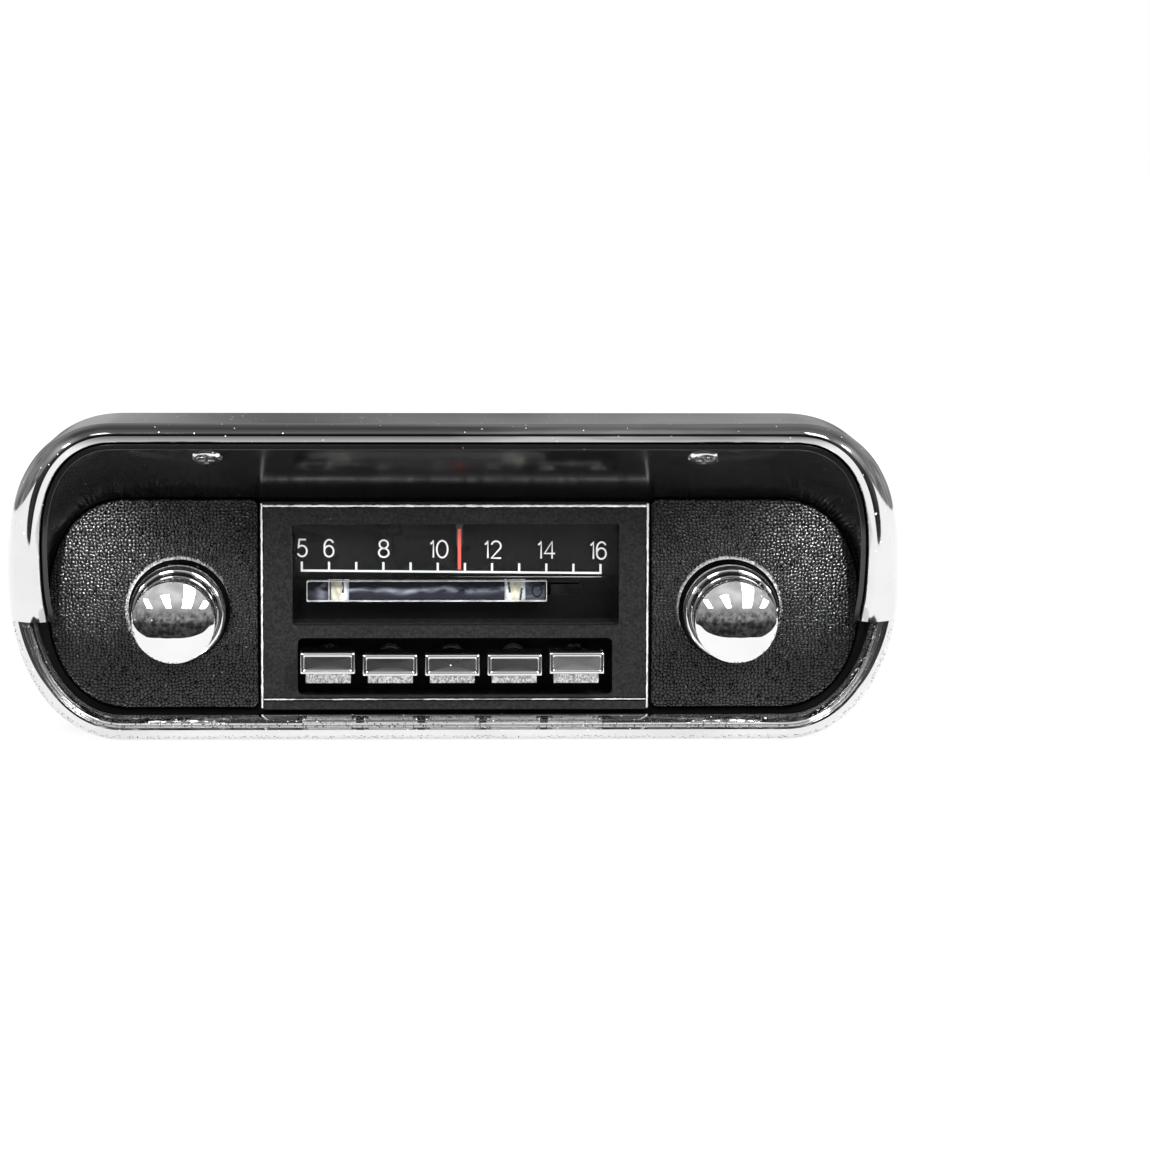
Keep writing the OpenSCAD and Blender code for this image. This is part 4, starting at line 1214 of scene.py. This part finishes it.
# Widths of the softened edges in millimetres
EDGES = {
    "centre_panel": 0.2, "bezel_carrier": 0.15, "dial_plate": 0.1, "pointer": 0.12,
    "pointer_carriage": 0.15, "band_slider": 0.1, "tuner_frame": 0.15, "treadle": 0.12,
    "core_carriage": 0.2, "gear_bracket": 0.15, "heat_sink": 0.2, "rear_connectors": 0.15,
    "shaft_nuts": 0.25, "circuit_board": 0.12,
}
# Seen only through the dial and the button openings, so they are painted black: painted shade that
# keeps the openings dark
SHADE_BLACKENED = ("band_slider", "tuner_frame", "gear_bracket")
for node, held in NODES.items():
    if not held.hide_render:
        dress(node, EDGES.get(node), "black_steel" if node in SHADE_BLACKENED else None)

# ---- floor, light and camera

SCENE.view_settings.view_transform = "Standard"


def stage_material(name, tone, glow):
    """Matt pale surface that gives some light of its own, so it shows almost white."""
    s = Surface(name, Roughness=0.9, Specular_IOR_Level=0.0)
    s.colour(s.blend(s.noise(3, 2), grey(tone), grey(tone * 1.03)))
    s.glow(grey(1.0), glow)
    return s.material


def flat(name, outlines, faces, material, height=0.0):
    """Flat stage piece from points of one level."""
    mesh = bpy.data.meshes.new(name)
    mesh.from_pydata([(x, y, height) for x, y in outlines], [], faces)
    mesh.materials.append(material)
    made = bpy.data.objects.new(name, mesh)
    SCENE.collection.objects.link(made)
    return made


# The table ends a little in front of the radio, nearer to it at its ends, as in the reflections
TABLE_FRONT = FACE_Y - 0.074
TABLE_HALF = 1.2
FLOOR_HALF = 9
# Right half of the front edge: distance from the middle, and how far behind its foremost line
EDGE_BENDS = (
    (0.04, 0.004), (0.0715, 0.0), (0.1, 0.005), (0.124, 0.02), (0.18, 0.03), (0.35, 0.045),
    (TABLE_HALF, 0.045),
)
front_edge = [(-x, TABLE_FRONT + d) for x, d in reversed(EDGE_BENDS)]
front_edge += [(0.0, TABLE_FRONT + 0.008)]
front_edge += [(x, TABLE_FRONT + d) for x, d in EDGE_BENDS]
table_back = [(TABLE_HALF, TABLE_HALF), (-TABLE_HALF, TABLE_HALF)]
count = len(front_edge)
table_face = tuple(range(count + 2))
flat("table", [*front_edge, *table_back], [table_face], stage_material("pale_table", 0.2, 0.86))
floor_corners = corners((-FLOOR_HALF, FLOOR_HALF), (-FLOOR_HALF, FLOOR_HALF))
last = 5 + count
floor = flat(
    "floor",
    [*floor_corners, *table_back, *front_edge],
    [(0, 1, *range(last, 5, -1)), (1, 2, 4, last), (2, 3, 5, 4), (3, 0, 6, 5)],
    stage_material("pale_floor", 0.5, 0.9),
)
floor.visible_glossy = False


def light_sheet(name, strength):
    lit = bpy.data.materials.new(name)
    lit.use_nodes = True
    lit.node_tree.nodes.clear()
    nodes = Nodes(lit.node_tree)
    glow = nodes.add("Emission", {"Strength": strength}).outputs[0]
    nodes.add("OutputMaterial", {0: glow})
    return lit


SKY = light_sheet("skylight", 17.0)
HEIGHT = 2.2
SKYLIGHTS = (
    ((-1.45, -4.9), (-0.6, -4.9), (-0.55, -1.8), (-1.35, -1.8)),
    ((1.35, -4.9), (3.0, -4.6), (1.45, -0.7), (0.5, -0.6)),
    ((-5.3, -3.5), (-4.2, -4.1), (-3.05, -1.6), (-3.65, -1.05)),
    ((4.9, -3.9), (6.3, -3.1), (4.7, -1.0), (3.35, -1.35)),
)
for k, outline in enumerate(SKYLIGHTS):
    sheet = flat(f"skylight_{k + 1}", outline, [(0, 1, 2, 3)], SKY, HEIGHT)
    sheet.visible_camera = False

# A grey ceiling over a darker room. The camera itself sees a pale room
world = bpy.data.worlds.new("room")
SCENE.world = world
world.use_nodes = True
world.node_tree.nodes.clear()
w = Nodes(world.node_tree)
at = w.add("TexCoord").outputs["Generated"]
split = w.add("SeparateXYZ", {0: at})
y, z = split.outputs["Y"], split.outputs["Z"]
heights = w.add("ValToRGB", {0: w.remap(z, -1, 1)})
stops = (
    (0.0, 0.02), (0.44, 0.06), (0.475, 0.17), (0.53, 0.24), (0.64, 0.36), (0.76, 0.62),
    (0.88, 0.8), (1.0, 0.6),
)
while len(heights.color_ramp.elements) < len(stops):
    heights.color_ramp.elements.new(0.5)
for element, (place, value) in zip(heights.color_ramp.elements, stops):
    element.position = place
    element.color = grey(value)
wall = w.add("TexNoise", {"Vector": at, "Scale": 2.2, "Detail": 3}).outputs[0]
colour = w.blend(w.remap(y, 0.1, 0.6), heights.outputs[0], grey(0.25))
# Furniture and windows: strong patches in a band round the horizon
things = w.add("TexNoise", {"Vector": at, "Scale": 7.0, "Detail": 5}).outputs[0]
strength = w.add(
    "Mix",
    {
        0: w.remap(z, 0.3, 0.12),
        2: w.remap(wall, 0.35, 0.65, 0.75, 1.2),
        3: w.remap(things, 0.38, 0.64, 0.4, 1.7),
    },
).outputs[0]
around = w.add("Background", {"Color": colour, "Strength": strength}).outputs[0]
seen = w.add("Background", {"Color": grey(1.0)}).outputs[0]
for_camera = w.add("LightPath").outputs["Is Camera Ray"]
both = w.add("MixShader", {0: for_camera, 1: around, 2: seen}).outputs[0]
w.add("OutputWorld", {0: both})


def end_light(side):
    """Small soft light that grazes the upper outer part of a side panel."""
    spot = bpy.data.objects.new(f"end_light_{side}", bpy.data.lights.new("end_light", "SPOT"))
    SCENE.collection.objects.link(spot)
    spot.data.energy = 12
    spot.data.spot_size = radians(5.4)
    spot.data.spot_blend = 1.0
    spot.data.shadow_soft_size = 0.008
    spot.location = row([side * 165, -430, 120])[0]
    target = Vector(row([side * 95, 0, 13])[0])
    spot.rotation_mode = "QUATERNION"
    spot.rotation_quaternion = (target - spot.location).to_track_quat("-Z", "Y")


end_light(-1)
end_light(1)

camera = bpy.data.objects.new("camera", bpy.data.cameras.new("camera"))
SCENE.collection.objects.link(camera)
SCENE.camera = camera
# About 1.1 m in front of the face and 6 degrees above it; the pan places the radio in the frame
camera.data.lens = 133.3
camera.data.sensor_width = 36
camera.location = (-0.006, FACE_Y - 1.1, AXIS_Z + 0.131)
aim = Vector((0, FACE_Y, AXIS_Z + 0.0086))
camera.rotation_mode = "QUATERNION"
steady = (aim - camera.location).to_track_quat("-Z", "Y")
pan = Euler((radians(0.03), radians(-1.615), 0)).to_quaternion()
camera.rotation_quaternion = steady @ pan

bpy.context.view_layer.update()
